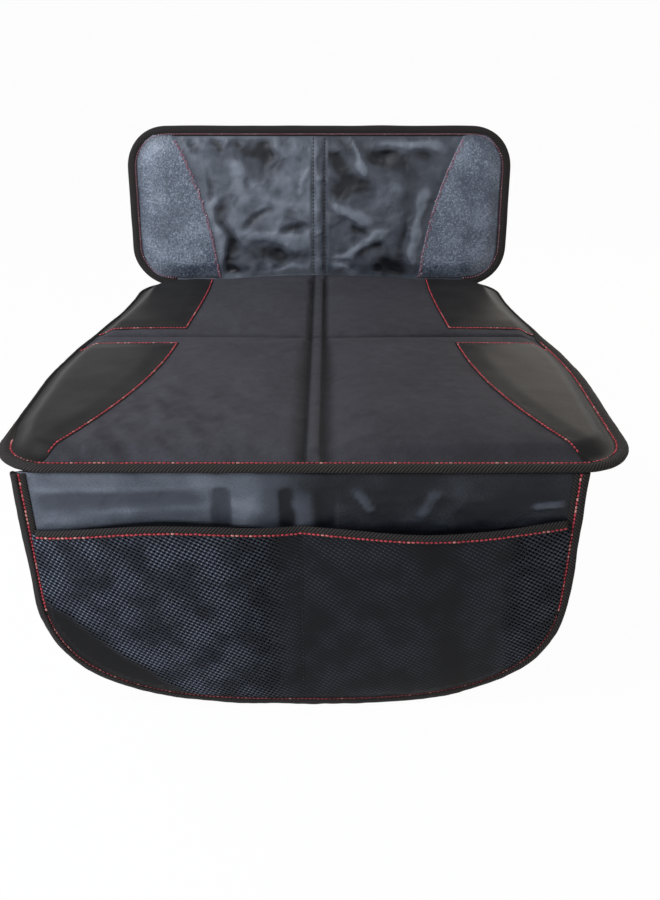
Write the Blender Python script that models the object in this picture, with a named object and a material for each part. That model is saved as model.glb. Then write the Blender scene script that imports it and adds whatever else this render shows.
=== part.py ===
# Car seat protector mat in its shape of use: a padded seat panel lies flat, a padded back panel leans up
# behind it, and a flap with two mesh pockets hangs down in front. Metres, +Z up, +X to the right as seen
# from the front, and the origin in the middle of the seat panel's flat underside.
import math

import bmesh
import bpy
from mathutils import Vector
from mathutils.geometry import intersect_point_line

CLEARANCE = 0.0003

# seat panel
SEAT_DEPTH = 0.455
SEAT_FRONT_HALF_WIDTH = 0.241
SEAT_REAR_HALF_WIDTH = 0.2075
SEAT_FRONT_CORNER = 0.045
SEAT_REAR_CORNER = 0.050
SEAT_TAPER_START = 0.150
SEAT_TAPER_LENGTH = 0.255
SEAT_PAD_THICKNESS = 0.0085
SEAT_CROWN = 0.0025
SEAT_REAR_RISE = 0.009
SEAT_REAR_RISE_LENGTH = 0.075
CROSS_FOLD_FROM_FRONT = 0.258

# back panel
BACK_HEIGHT = 0.1775
BACK_HALF_WIDTH = 0.2195
BACK_CORNER = 0.045
BACK_RECLINE = math.radians(10.0)
BACK_PAD_THICKNESS = 0.0075
BACK_CROWN = 0.0015
BACK_WRINKLE = 0.0011

# front flap and its pockets
FLAP_HEIGHT = 0.2275
FLAP_HALF_WIDTH = 0.2115
FLAP_SQUARE_HEIGHT = 0.100
FLAP_ROUNDNESS = 2.8
FLAP_THICKNESS = 0.0026
FLAP_SETBACK = 0.0010
FLAP_SHIFT = -0.0095
POCKET_MOUTH_DEPTH = 0.055
POCKET_MOUTH_TILT = 0.004
POCKET_LEFT_ARCH = 0.010
POCKET_RIGHT_ARCH = 0.003
POCKET_FULLNESS = 0.0100
POCKET_ROUNDNESS = 0.85
MESH_THICKNESS = 0.0010

# edges, folds and facings
RIM_THICKNESS = 0.0020
RIM_LIFT = 0.0015
RIM_WIDTH = 0.010
RIM_STEP = 0.002
PAD_SHOULDER = 0.022
TAPE_THICKNESS = 0.0010
TAPE_COVER = 0.0095
HEM_COVER = 0.0062
SEAT_WAIST_NOTCH = 0.0030
BACK_WAIST_NOTCH = 0.0005
STRIP_HALF_WIDTH = 0.0066
FOLD_HALF_WIDTH = 0.0040
FOLD_DEPTH = 0.0030
PATCH_THICKNESS = 0.0008
FRONT_PATCH_INNER = 0.133
FRONT_PATCH_FRONT_INNER = 0.207
FRONT_PATCH_BOW = 0.017
REAR_PATCH_INNER = 0.131
REAR_PATCH_REAR_INNER = 0.123
REAR_PATCH_BOW = 0.003
PATCH_FOLD_MARGIN = 0.017
BACK_PATCH_TOP_INNER = 0.170
BACK_PATCH_BOTTOM_INNER = 0.117
BACK_PATCH_BOW = 0.011

# how finely curved edges and pads are divided
CORNER_STEPS = 8
SIDE_STEPS = 9
PAD_CELL = 0.026
BOW_STEPS = 10

SEAT_FRONT = -SEAT_DEPTH / 2
SEAT_REAR = SEAT_DEPTH / 2
CROSS_FOLD = SEAT_FRONT + CROSS_FOLD_FROM_FRONT
RIM_TOP = RIM_LIFT + RIM_THICKNESS
FLAP_TOP = RIM_LIFT - CLEARANCE - TAPE_THICKNESS - CLEARANCE

for old in list(bpy.data.objects):
    bpy.data.objects.remove(old, do_unlink=True)


def make_collection(name):
    collection = bpy.data.collections.new(name)
    bpy.context.scene.collection.children.link(collection)
    return collection


PARTS = make_collection("car_seat_protector_mat")
HELPERS = make_collection("cutters")
HELPERS.hide_render = True


def make_material(name, color, roughness):
    material = bpy.data.materials.new(name)
    material.use_nodes = True
    shader = material.node_tree.nodes["Principled BSDF"]
    shader.inputs["Base Color"].default_value = (*color, 1.0)
    shader.inputs["Roughness"].default_value = roughness
    shader.inputs["Metallic"].default_value = 0.0
    return material


WOVEN = make_material("woven_fabric", (0.045, 0.043, 0.046), 0.75)
CRINKLED_NYLON = make_material("crinkled_nylon", (0.050, 0.055, 0.064), 0.42)
SMOOTH_LEATHERETTE = make_material("smooth_leatherette", (0.040, 0.038, 0.037), 0.50)
PEBBLED_LEATHERETTE = make_material("pebbled_leatherette", (0.085, 0.098, 0.120), 0.38)
BIAS_TAPE = make_material("bias_tape", (0.016, 0.015, 0.016), 0.70)
OPEN_MESH = make_material("open_mesh", (0.018, 0.018, 0.022), 0.60)


def make_frame(name, location, tilt):
    """An empty that carries one panel: X to the right, Y up the panel, Z out of its face."""
    frame = bpy.data.objects.new(name, None)
    frame.location = location
    frame.rotation_euler = (tilt, 0.0, 0.0)
    HELPERS.objects.link(frame)
    return frame


def place(obj, frame, material, collection=PARTS):
    obj.parent = frame
    if material:
        obj.data.materials.append(material)
    collection.objects.link(obj)
    return obj


def smooth(amount):
    amount = min(max(amount, 0.0), 1.0)
    return amount * amount * (3.0 - 2.0 * amount)


def blend(start, end, amount):
    return start + (end - start) * amount


def arc(centre, radius, start, end, steps):
    """Points from one angle to another, in degrees, with both ends."""
    turns = [math.radians(blend(start, end, i / steps)) for i in range(steps + 1)]
    return [(centre[0] + radius * math.cos(t), centre[1] + radius * math.sin(t)) for t in turns]


def mirrored(half):
    """A right half from bottom to top, made a full outline that runs anticlockwise."""
    left = [(-x, y) for x, y in reversed(half) if abs(x) > CLEARANCE]
    return half + left


# outlines, each as its right half

def seat_half_width(y):
    along = (y - SEAT_FRONT - SEAT_TAPER_START) / SEAT_TAPER_LENGTH
    return blend(SEAT_FRONT_HALF_WIDTH, SEAT_REAR_HALF_WIDTH, smooth(along))


def seat_half():
    front = arc(
        (SEAT_FRONT_HALF_WIDTH - SEAT_FRONT_CORNER, SEAT_FRONT + SEAT_FRONT_CORNER),
        SEAT_FRONT_CORNER, -90, 0, CORNER_STEPS,
    )
    rear = arc(
        (SEAT_REAR_HALF_WIDTH - SEAT_REAR_CORNER, SEAT_REAR - SEAT_REAR_CORNER),
        SEAT_REAR_CORNER, 0, 90, CORNER_STEPS,
    )
    low, high = front[-1][1], rear[0][1]
    heights = [blend(low, high, i / SIDE_STEPS) for i in range(1, SIDE_STEPS)]
    side = [(seat_half_width(y), y) for y in heights]
    return front + side + rear


def back_half():
    across = BACK_HALF_WIDTH - BACK_CORNER
    low = arc((across, BACK_CORNER), BACK_CORNER, -90, 0, CORNER_STEPS)
    high = arc((across, BACK_HEIGHT - BACK_CORNER), BACK_CORNER, 0, 90, CORNER_STEPS)
    return low + high


def flap_half():
    """Straight sides above, and below them a rounded bottom that narrows like a superellipse."""
    drop = FLAP_HEIGHT - FLAP_SQUARE_HEIGHT
    steps = 2 * CORNER_STEPS
    half = []
    for i in range(1, steps + 1):
        turn = math.radians(90.0 * i / steps)
        x = FLAP_HALF_WIDTH * math.sin(turn) ** (2.0 / FLAP_ROUNDNESS)
        y = -FLAP_SQUARE_HEIGHT - drop * math.cos(turn) ** (2.0 / FLAP_ROUNDNESS)
        half.append((x, y))
    half.append((FLAP_HALF_WIDTH, -FLAP_SQUARE_HEIGHT / 2))
    half.append((FLAP_HALF_WIDTH, 0.0))
    return half


def flap_half_width(y):
    """Half the flap's width at a height below its top."""
    below = min(max((-y - FLAP_SQUARE_HEIGHT) / (FLAP_HEIGHT - FLAP_SQUARE_HEIGHT), 0.0), 1.0)
    return FLAP_HALF_WIDTH * (1.0 - below ** FLAP_ROUNDNESS) ** (1.0 / FLAP_ROUNDNESS)


def inset_outline(outline, distance):
    """The outline moved inwards, each point along the mean of its neighbours' directions."""
    moved = []
    for i, point in enumerate(outline):
        before = Vector(outline[i - 1])
        after = Vector(outline[(i + 1) % len(outline)])
        run = (after - before).normalized()
        moved.append((point[0] - run.y * distance, point[1] + run.x * distance))
    return moved


# pads

def cell_lines(low, high, fixed):
    """Division lines between two limits: those of the folds, and even ones where they leave room."""
    lines = sorted(line for line in fixed if low < line < high)
    stops = [low] + lines + [high]
    between = []
    for start, end in zip(stops, stops[1:]):
        count = max(int(round((end - start) / PAD_CELL)), 1)
        between += [blend(start, end, i / count) for i in range(1, count)]
    return sorted(lines + between)


def flat_sheet(outline, insets, x_lines, y_lines, bare_rings=0):
    """A flat face with rings along its edge and a grid inside. Outer rings are left out where asked."""
    bm = bmesh.new()
    middle = bm.faces.new([bm.verts.new((x, y, 0.0)) for x, y in outline])
    bm.normal_update()
    unwanted = []
    for number, width in enumerate(insets):
        ring = bmesh.ops.inset_region(
            bm, faces=[middle], thickness=width, use_even_offset=True, use_boundary=True
        )
        if number < bare_rings:
            unwanted += ring["faces"]
    inner = [middle]
    for direction, lines in ((Vector((1, 0, 0)), x_lines), (Vector((0, 1, 0)), y_lines)):
        for line in lines:
            edges = {edge for face in inner for edge in face.edges}
            corners = {vert for face in inner for vert in face.verts}
            cut = bmesh.ops.bisect_plane(
                bm, geom=list(corners) + list(edges) + inner,
                plane_co=direction * line, plane_no=direction, dist=CLEARANCE / 10,
            )
            inner = [item for item in cut["geom"] if isinstance(item, bmesh.types.BMFace)]
    bmesh.ops.delete(bm, geom=unwanted, context="FACES")
    bmesh.ops.triangulate(bm, faces=bm.faces[:])
    return bm


def edge_distance(outline, x, y):
    point = Vector((x, y))
    nearest = math.inf
    for i, start in enumerate(outline):
        end = outline[(i + 1) % len(outline)]
        on_line, along = intersect_point_line(point, Vector(start), Vector(end))
        if along <= 0.0:
            on_line = Vector(start)
        elif along >= 1.0:
            on_line = Vector(end)
        nearest = min(nearest, (on_line.xy - point).length)
    return nearest


def thick_sheet(name, outline, sheet, upper, lower):
    """A closed body between two heights, which are functions of x, y and the distance from the edge."""
    bm = sheet
    low_faces = list(bm.faces)
    raised = bmesh.ops.extrude_face_region(bm, geom=low_faces, use_keep_orig=True)
    high = {item for item in raised["geom"] if isinstance(item, bmesh.types.BMVert)}
    low = [vert for vert in bm.verts if vert not in high]
    for verts, height in ((high, upper), (low, lower)):
        for vert in verts:
            x, y = vert.co.x, vert.co.y
            vert.co = height(x, y, edge_distance(outline, x, y))
    flat = {vert for vert in low if vert.co.z == 0.0}
    flat_edges = [edge for edge in bm.edges if flat.issuperset(edge.verts)]
    bmesh.ops.dissolve_limit(
        bm, angle_limit=math.radians(0.05), verts=list(flat), edges=flat_edges
    )
    bmesh.ops.recalc_face_normals(bm, faces=bm.faces[:])
    mesh = bpy.data.meshes.new(name)
    bm.to_mesh(mesh)
    bm.free()
    mesh.shade_smooth()
    mesh.set_sharp_from_angle(angle=math.radians(40))
    return bpy.data.objects.new(name, mesh)


def fold_dip(distance):
    """Depth of a sewn fold at a distance from its line."""
    return FOLD_DEPTH * (1.0 - smooth(abs(distance) / FOLD_HALF_WIDTH))


def centre_dip(x):
    return max(fold_dip(x - STRIP_HALF_WIDTH), fold_dip(x + STRIP_HALF_WIDTH))


def pad_swell(offset, half_span):
    """From 0 at the ends of a span to 1 in its middle."""
    across = min(abs(offset) / half_span, 1.0)
    return 1.0 - across * across


def padded_height(distance, thickness):
    return blend(RIM_TOP, thickness, smooth((distance - RIM_WIDTH) / PAD_SHOULDER))


def seat_rise(x, y):
    """The rear middle of the seat panel climbs to the crease where the back panel begins."""
    straight = SEAT_REAR_HALF_WIDTH - SEAT_REAR_CORNER
    across = pad_swell(x, straight)
    return SEAT_REAR_RISE * across * smooth(1.0 - (SEAT_REAR - y) / SEAT_REAR_RISE_LENGTH)


def seat_crown(x, y):
    span = (seat_half_width(y) - STRIP_HALF_WIDTH) / 2
    across = pad_swell(abs(x) - STRIP_HALF_WIDTH - span, span)
    if y > CROSS_FOLD:
        reach = (SEAT_REAR - CROSS_FOLD) / 2
        along = pad_swell(y - CROSS_FOLD - reach, reach)
    else:
        reach = (CROSS_FOLD - SEAT_FRONT) / 2
        along = pad_swell(y - SEAT_FRONT - reach, reach)
    return SEAT_CROWN * math.sqrt(across * along)


def seat_height(x, y, distance):
    dip = max(centre_dip(x), fold_dip(y - CROSS_FOLD))
    inside = smooth((distance - RIM_WIDTH) / PAD_SHOULDER)
    return padded_height(distance, SEAT_PAD_THICKNESS) + inside * (seat_crown(x, y) - dip)


def lean_back(x, y, z):
    """The risen rear edge keeps its clearance to the leaning back panel."""
    rise = seat_rise(x, y)
    return Vector((x, y + rise * math.tan(BACK_RECLINE), z + rise))


def seat_top(x, y, distance):
    return lean_back(x, y, seat_height(x, y, distance))


def pad_underside(distance):
    return RIM_LIFT * (1.0 - smooth((distance - RIM_WIDTH) / RIM_STEP))


def seat_underside(x, y, distance):
    return lean_back(x, y, pad_underside(distance))


def wrinkle(x, y):
    """Slack nylon: long creases that run slantwise, stronger towards the middle of the panel."""
    slant = math.sin(61.0 * x + 38.0 * y + 1.3) * math.sin(23.0 * x - 71.0 * y)
    cross = 0.6 * math.sin(97.0 * x - 64.0 * y + 0.7)
    return BACK_WRINKLE * (slant + cross)


def back_height(x, y, distance):
    inside = smooth((distance - RIM_WIDTH) / PAD_SHOULDER)
    half = BACK_HEIGHT / 2
    crown = BACK_CROWN * pad_swell(x, BACK_HALF_WIDTH) * pad_swell(y - half, half)
    return padded_height(distance, BACK_PAD_THICKNESS) + inside * (crown + wrinkle(x, y) - centre_dip(x))


def back_top(x, y, distance):
    return Vector((x, y, back_height(x, y, distance)))


def back_underside(x, y, distance):
    return Vector((x, y, pad_underside(distance)))


def raised_by(height, lift):
    """The same height function, moved out of its face."""
    return lambda x, y, distance: height(x, y, distance) + Vector((0.0, 0.0, lift))


FOLD_LINES = [
    side * (STRIP_HALF_WIDTH + step * FOLD_HALF_WIDTH)
    for side in (-1, 1) for step in (-1, 0, 0.5, 1)
]
PAD_RINGS = (RIM_WIDTH, RIM_STEP, PAD_SHOULDER / 3, PAD_SHOULDER / 3)


def seat_sheet(bare_rings=0):
    y_lines = cell_lines(
        SEAT_FRONT, SEAT_REAR,
        [CROSS_FOLD + step * FOLD_HALF_WIDTH for step in (-1, -0.5, 0, 0.5, 1)]
        + [SEAT_REAR - SEAT_REAR_RISE_LENGTH * share for share in (1.0, 0.75, 0.5)],
    )
    x_lines = cell_lines(-SEAT_FRONT_HALF_WIDTH, SEAT_FRONT_HALF_WIDTH, FOLD_LINES + [0.0])
    return flat_sheet(mirrored(seat_half()), PAD_RINGS, x_lines, y_lines, bare_rings)


def back_sheet(bare_rings=0):
    x_lines = cell_lines(-BACK_HALF_WIDTH, BACK_HALF_WIDTH, FOLD_LINES + [0.0])
    y_lines = cell_lines(0.0, BACK_HEIGHT, [])
    return flat_sheet(mirrored(back_half()), PAD_RINGS, x_lines, y_lines, bare_rings)


# facings: a skin that lies on the pad, trimmed to its seam

def bowed(start, end, bow):
    """A seam between two points that bows to its left by the given sagitta."""
    start, end = Vector(start), Vector(end)
    run = end - start
    side = Vector((-run.y, run.x)).normalized()
    shares = [i / BOW_STEPS for i in range(BOW_STEPS + 1)]
    return [start + run * s + side * bow * 4.0 * s * (1.0 - s) for s in shares]


def trim_block(name, outline, frame):
    """An upright block with the facing's outline, tall enough to pass through the pad."""
    curve = bpy.data.curves.new(name, "CURVE")
    curve.dimensions = "2D"
    curve.fill_mode = "BOTH"
    curve.extrude = 4 * SEAT_PAD_THICKNESS
    spline = curve.splines.new("POLY")
    spline.points.add(len(outline) - 1)
    for point, (x, y) in zip(spline.points, outline):
        point.co = (x, y, 0.0, 1.0)
    spline.use_cyclic_u = True
    guide = bpy.data.objects.new(name + "_outline", curve)
    HELPERS.objects.link(guide)
    bpy.context.view_layer.update()
    solid = bpy.data.meshes.new_from_object(guide.evaluated_get(bpy.context.evaluated_depsgraph_get()))
    bpy.data.objects.remove(guide, do_unlink=True)
    bm = bmesh.new()
    bm.from_mesh(solid)
    bmesh.ops.remove_doubles(bm, verts=bm.verts[:], dist=CLEARANCE / 10)
    bmesh.ops.recalc_face_normals(bm, faces=bm.faces[:])
    bm.to_mesh(solid)
    bm.free()
    block = place(bpy.data.objects.new(name, solid), frame, None, HELPERS)
    block.hide_render = True
    block.display_type = "WIRE"
    return block


def facing(name, outline_half, sheet, top, side, seam, frame, material):
    """A facing on the right for side 1, and its mirror image on the left for side -1."""
    outline = mirrored(outline_half)
    skin = thick_sheet(
        name, outline, sheet,
        raised_by(top, CLEARANCE + PATCH_THICKNESS), raised_by(top, CLEARANCE),
    )
    place(skin, frame, material)
    block = trim_block(name + "_trim", [(side * x, y) for x, y in seam], frame)
    trim = skin.modifiers.new("trim", "BOOLEAN")
    trim.operation = "INTERSECT"
    trim.solver = "EXACT"
    trim.object = block


# bias tape: a folded strip that grips the edge of a panel

def tape_profile(name, inner_low, inner_high, cover):
    """A U that opens inwards. X runs out of the panel's edge, and Y out of its face."""
    wall = CLEARANCE + TAPE_THICKNESS
    points = [
        (wall, inner_low - wall), (wall, inner_high + wall),
        (-cover, inner_high + wall), (-cover, inner_high + CLEARANCE),
        (CLEARANCE, inner_high + CLEARANCE), (CLEARANCE, inner_low - CLEARANCE),
        (-cover, inner_low - CLEARANCE), (-cover, inner_low - wall),
    ]
    curve = bpy.data.curves.new(name, "CURVE")
    curve.dimensions = "2D"
    spline = curve.splines.new("POLY")
    spline.points.add(len(points) - 1)
    for point, (x, y) in zip(spline.points, points):
        point.co = (-x, y, 0.0, 1.0)
    spline.use_cyclic_u = True
    profile = bpy.data.objects.new(name, curve)
    HELPERS.objects.link(profile)
    profile.hide_render = True
    return profile


def bias_tape(name, path, profile, frame):
    curve = bpy.data.curves.new(name, "CURVE")
    curve.dimensions = "3D"
    curve.twist_mode = "Z_UP"
    curve.bevel_mode = "OBJECT"
    curve.bevel_object = profile
    curve.use_fill_caps = True
    spline = curve.splines.new("POLY")
    spline.points.add(len(path) - 1)
    for point, place_of in zip(spline.points, path):
        point.co = (*place_of, 1.0)
    return place(bpy.data.objects.new(name, curve), frame, BIAS_TAPE)


def taped_edge(half, open_above):
    """The panel's edge as one clockwise run that is open at its upper or its lower end."""
    left = [(-x, y) for x, y in reversed(half)]
    run = left + half if open_above else half + left
    return [(x, y, 0.0) for x, y in reversed(run)]


# front flap and pockets

def flap_face(height):
    return lambda x, y, distance: Vector((x, y, height))


def mouth_height(x):
    """The pocket's slack upper edge: a little higher on the right, and arched over each pocket."""
    across = x / FLAP_HALF_WIDTH
    arch = POCKET_LEFT_ARCH if x < 0.0 else POCKET_RIGHT_ARCH
    return -POCKET_MOUTH_DEPTH + POCKET_MOUTH_TILT * across + arch * math.sin(math.pi * abs(across)) ** 2


def pocket_standoff(x, y):
    """How far the slack mesh stands off the flap, 0 along its sewn sides, foot and centre seam."""
    reach = max(flap_half_width(y) - RIM_WIDTH, CLEARANCE)
    across = min(abs(x) / reach, 1.0)
    bulge = max(math.sin(math.pi * across), 0.0) ** POCKET_ROUNDNESS
    foot = -FLAP_HEIGHT + RIM_WIDTH
    full_height = mouth_height(x) - HEM_COVER - TAPE_THICKNESS
    rise = min(max((y - foot) / (full_height - foot), 0.0), 1.0)
    hem_room = (TAPE_THICKNESS + CLEARANCE) * rise
    return FLAP_THICKNESS + CLEARANCE + hem_room + POCKET_FULLNESS * bulge * math.sqrt(rise)


def mesh_back(x, y, distance):
    return Vector((x, y, pocket_standoff(x, y)))


def mesh_outline():
    """The flap's lower outline, just inside its tape, closed by the pocket's wavy mouth."""
    full = inset_outline(mirrored(flap_half()), RIM_WIDTH)
    reach = FLAP_HALF_WIDTH - RIM_WIDTH
    steps = 4 * CORNER_STEPS
    mouth = [blend(reach, -reach, i / steps) for i in range(steps + 1)]
    sides = [point for point in full if point[1] < mouth_height(reach) - PAD_CELL / 4]
    right = [point for point in sides if point[0] >= 0.0]
    left = [point for point in sides if point[0] < 0.0]
    return right + [(x, mouth_height(x)) for x in mouth] + left


def build_seat(frame):
    outline = mirrored(seat_half())
    pad = thick_sheet("seat_panel", outline, seat_sheet(), seat_top, seat_underside)
    place(pad, frame, WOVEN)
    outside = SEAT_FRONT_HALF_WIDTH + PAD_CELL
    fold_front = CROSS_FOLD - PATCH_FOLD_MARGIN
    fold_rear = CROSS_FOLD + PATCH_FOLD_MARGIN
    beyond_front = SEAT_FRONT - PAD_CELL
    front_run = bowed((FRONT_PATCH_INNER, fold_front), (FRONT_PATCH_FRONT_INNER, SEAT_FRONT), -FRONT_PATCH_BOW)
    front_seam = [tuple(point) for point in front_run]
    front_seam += [(FRONT_PATCH_FRONT_INNER, beyond_front), (outside, beyond_front), (outside, fold_front)]
    rear_run = bowed((REAR_PATCH_REAR_INNER, SEAT_REAR), (REAR_PATCH_INNER, fold_rear), -REAR_PATCH_BOW)
    rear_seam = [tuple(point) for point in rear_run]
    beyond_rear = SEAT_REAR + PAD_CELL
    rear_seam += [(outside, fold_rear), (outside, beyond_rear), (REAR_PATCH_REAR_INNER, beyond_rear)]
    for side, word in ((-1, "left"), (1, "right")):
        for seam, place_word in ((front_seam, "front"), (rear_seam, "rear")):
            facing(
                f"seat_{place_word}_patch_{word}", seat_half(), seat_sheet(bare_rings=1),
                seat_top, side, seam, frame, SMOOTH_LEATHERETTE,
            )
    profile = tape_profile("seat_tape_profile", RIM_LIFT, RIM_TOP, TAPE_COVER)
    taped = [(x, y) for x, y in seat_half() if y < SEAT_REAR - SEAT_WAIST_NOTCH]
    bias_tape("seat_binding", taped_edge(taped, open_above=True), profile, frame)


def build_back(frame):
    outline = mirrored(back_half())
    pad = thick_sheet("back_panel", outline, back_sheet(), back_top, back_underside)
    place(pad, frame, CRINKLED_NYLON)
    outside = BACK_HALF_WIDTH + PAD_CELL
    run = bowed((BACK_PATCH_TOP_INNER, BACK_HEIGHT), (BACK_PATCH_BOTTOM_INNER, 0.0), BACK_PATCH_BOW)
    seam = [tuple(point) for point in run]
    seam += [(BACK_PATCH_BOTTOM_INNER, -PAD_CELL), (outside, -PAD_CELL)]
    seam += [(outside, BACK_HEIGHT + PAD_CELL), (BACK_PATCH_TOP_INNER, BACK_HEIGHT + PAD_CELL)]
    for side, word in ((-1, "left"), (1, "right")):
        facing(
            f"back_side_patch_{word}", back_half(), back_sheet(bare_rings=1),
            back_top, side, seam, frame, PEBBLED_LEATHERETTE,
        )
    profile = tape_profile("back_tape_profile", RIM_LIFT, RIM_TOP, TAPE_COVER)
    taped = [(x, y) for x, y in back_half() if y > BACK_WAIST_NOTCH]
    bias_tape("back_binding", taped_edge(taped, open_above=False), profile, frame)


def build_flap(frame):
    outline = mirrored(flap_half())
    sheet = flat_sheet(outline, (), [], [])
    flap = thick_sheet("front_flap", outline, sheet, flap_face(FLAP_THICKNESS), flap_face(0.0))
    place(flap, frame, CRINKLED_NYLON)
    profile = tape_profile("flap_tape_profile", 0.0, FLAP_THICKNESS, TAPE_COVER)
    bias_tape("flap_binding", taped_edge(flap_half(), open_above=True), profile, frame)
    sewn = mesh_outline()
    x_lines = cell_lines(-FLAP_HALF_WIDTH, FLAP_HALF_WIDTH, [0.0])
    y_lines = cell_lines(-FLAP_HEIGHT, -POCKET_MOUTH_DEPTH, [])
    mesh = thick_sheet(
        "pocket_mesh", sewn, flat_sheet(sewn, (), x_lines, y_lines),
        raised_by(mesh_back, MESH_THICKNESS), mesh_back,
    )
    place(mesh, frame, OPEN_MESH)
    mouth = [x for x, y in reversed(sewn) if abs(y - mouth_height(x)) < CLEARANCE]
    hem_reach = mouth[-1] - TAPE_THICKNESS
    held = [min(max(x, -hem_reach), hem_reach) for x in mouth]
    path = [(x, mouth_height(x), pocket_standoff(x, mouth_height(x))) for x in held]
    hem = tape_profile("hem_profile", 0.0, MESH_THICKNESS, HEM_COVER)
    bias_tape("pocket_hem", path, hem, frame)


SEAT_FRAME = make_frame("seat_frame", (0.0, 0.0, 0.0), 0.0)
BACK_FRAME = make_frame(
    "back_frame",
    (0.0, SEAT_REAR + CLEARANCE + RIM_TOP / math.cos(BACK_RECLINE), 0.0),
    math.radians(90.0) - BACK_RECLINE,
)
FLAP_FRAME = make_frame(
    "flap_frame",
    (FLAP_SHIFT, SEAT_FRONT + FLAP_SETBACK + FLAP_THICKNESS, FLAP_TOP),
    math.radians(90.0),
)

build_seat(SEAT_FRAME)
build_back(BACK_FRAME)
build_flap(FLAP_FRAME)
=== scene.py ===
import math
import random
from types import SimpleNamespace as Settings

import bmesh
import bpy
import numpy as np
from mathutils import Matrix, Vector, noise


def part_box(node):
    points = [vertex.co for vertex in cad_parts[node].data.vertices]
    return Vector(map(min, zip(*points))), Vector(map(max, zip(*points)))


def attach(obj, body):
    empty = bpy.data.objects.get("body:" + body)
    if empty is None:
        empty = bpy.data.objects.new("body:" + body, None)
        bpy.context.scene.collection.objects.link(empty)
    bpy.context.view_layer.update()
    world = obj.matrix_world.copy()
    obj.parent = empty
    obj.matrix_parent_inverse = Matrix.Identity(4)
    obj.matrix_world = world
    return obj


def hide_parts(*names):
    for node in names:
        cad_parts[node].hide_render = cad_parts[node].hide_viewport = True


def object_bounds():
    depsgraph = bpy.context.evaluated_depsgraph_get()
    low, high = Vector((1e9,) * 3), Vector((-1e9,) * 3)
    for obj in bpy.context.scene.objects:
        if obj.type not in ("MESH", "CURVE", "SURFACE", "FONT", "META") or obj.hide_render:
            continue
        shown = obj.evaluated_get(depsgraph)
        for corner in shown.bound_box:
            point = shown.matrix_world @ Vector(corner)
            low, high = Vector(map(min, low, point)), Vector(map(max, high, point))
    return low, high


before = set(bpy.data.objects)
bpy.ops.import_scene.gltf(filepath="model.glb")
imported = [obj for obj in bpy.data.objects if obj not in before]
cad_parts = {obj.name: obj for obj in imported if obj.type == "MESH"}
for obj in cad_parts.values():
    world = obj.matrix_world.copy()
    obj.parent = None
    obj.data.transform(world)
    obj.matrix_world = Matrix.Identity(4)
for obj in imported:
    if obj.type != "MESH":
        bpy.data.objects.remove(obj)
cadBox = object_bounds()
scene = bpy.context.scene

edgeGap = 0.0003     # between neighbouring pieces
rimLift = 0.0015     # the pads' edges stand this far above their flat undersides
rimTop = 0.0035
flapCloth = 0.0026
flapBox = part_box("front_flap")
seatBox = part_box("seat_panel")
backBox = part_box("back_panel")


def varied(settings, **changes):
    # the same settings, some of them changed
    return Settings(**{**vars(settings), **changes})


# curves and outlines

def smooth(share):
    share = np.clip(share, 0.0, 1.0)
    return share * share * (3.0 - 2.0 * share)


def blend(start, end, share):
    return start + (end - start) * share


def points(*columns):
    return np.stack(columns, axis=1)


def arc(centreX, centreY, radius, start, end, steps=14):
    turns = np.radians(np.linspace(start, end, steps + 1))
    return [(centreX + radius * math.cos(t), centreY + radius * math.sin(t)) for t in turns]


def evenly(path, pitch):
    # the same line with points an even distance apart
    path = np.asarray(path, float)
    runs = np.linalg.norm(np.diff(path, axis=0), axis=1)
    along = np.concatenate([[0.0], np.cumsum(runs)])
    count = max(int(round(along[-1] / pitch)), 2)
    marks = np.linspace(0.0, along[-1], count + 1)
    return points(*[np.interp(marks, along, column) for column in path.T])


def outwards(path):
    # unit normals to the right of a line's direction
    run = np.gradient(np.asarray(path, float)[:, :2], axis=0)
    run /= np.linalg.norm(run, axis=1)[:, None]
    return points(run[:, 1], -run[:, 0])


def ripple(flat, size, seed, octaves=3):
    # smooth noise from about -1 to 1, in features of the given size
    shift = Vector((seed * 3.7, seed * 1.3, seed * 0.71))
    return np.array([
        noise.fractal(Vector((x / size, y / size, 0.0)) + shift, 0.9, 2.0, octaves) for x, y in flat
    ])


def foldLift(flat, folds, cloth):
    # ridges, and valleys where the height is negative, along lines between two points
    flat = flat + cloth.stray * points(*[ripple(flat, 0.028, seed, 2) for seed in (51, 52)])
    lift = np.zeros(len(flat))
    for *ends, width, height in folds:
        start, end = np.reshape(ends, (2, 2))
        run = end - start
        length = np.linalg.norm(run)
        fromStart = flat - start
        along = fromStart @ run / length ** 2
        aside = fromStart @ np.array([-run[1], run[0]]) / length
        fade = smooth((along + 0.08) / cloth.fade) * smooth((1.08 - along) / cloth.fade)
        lift += height * fade * np.exp(-(np.abs(aside) / width) ** cloth.crispness)
    return lift


def mirrored(side):
    return [(-x, y) for x, y in reversed(side)]


def seamAt(seam, y):
    # how far from the middle a seam stands
    return np.interp(y, seam[:, 1], seam[:, 0])


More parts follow.
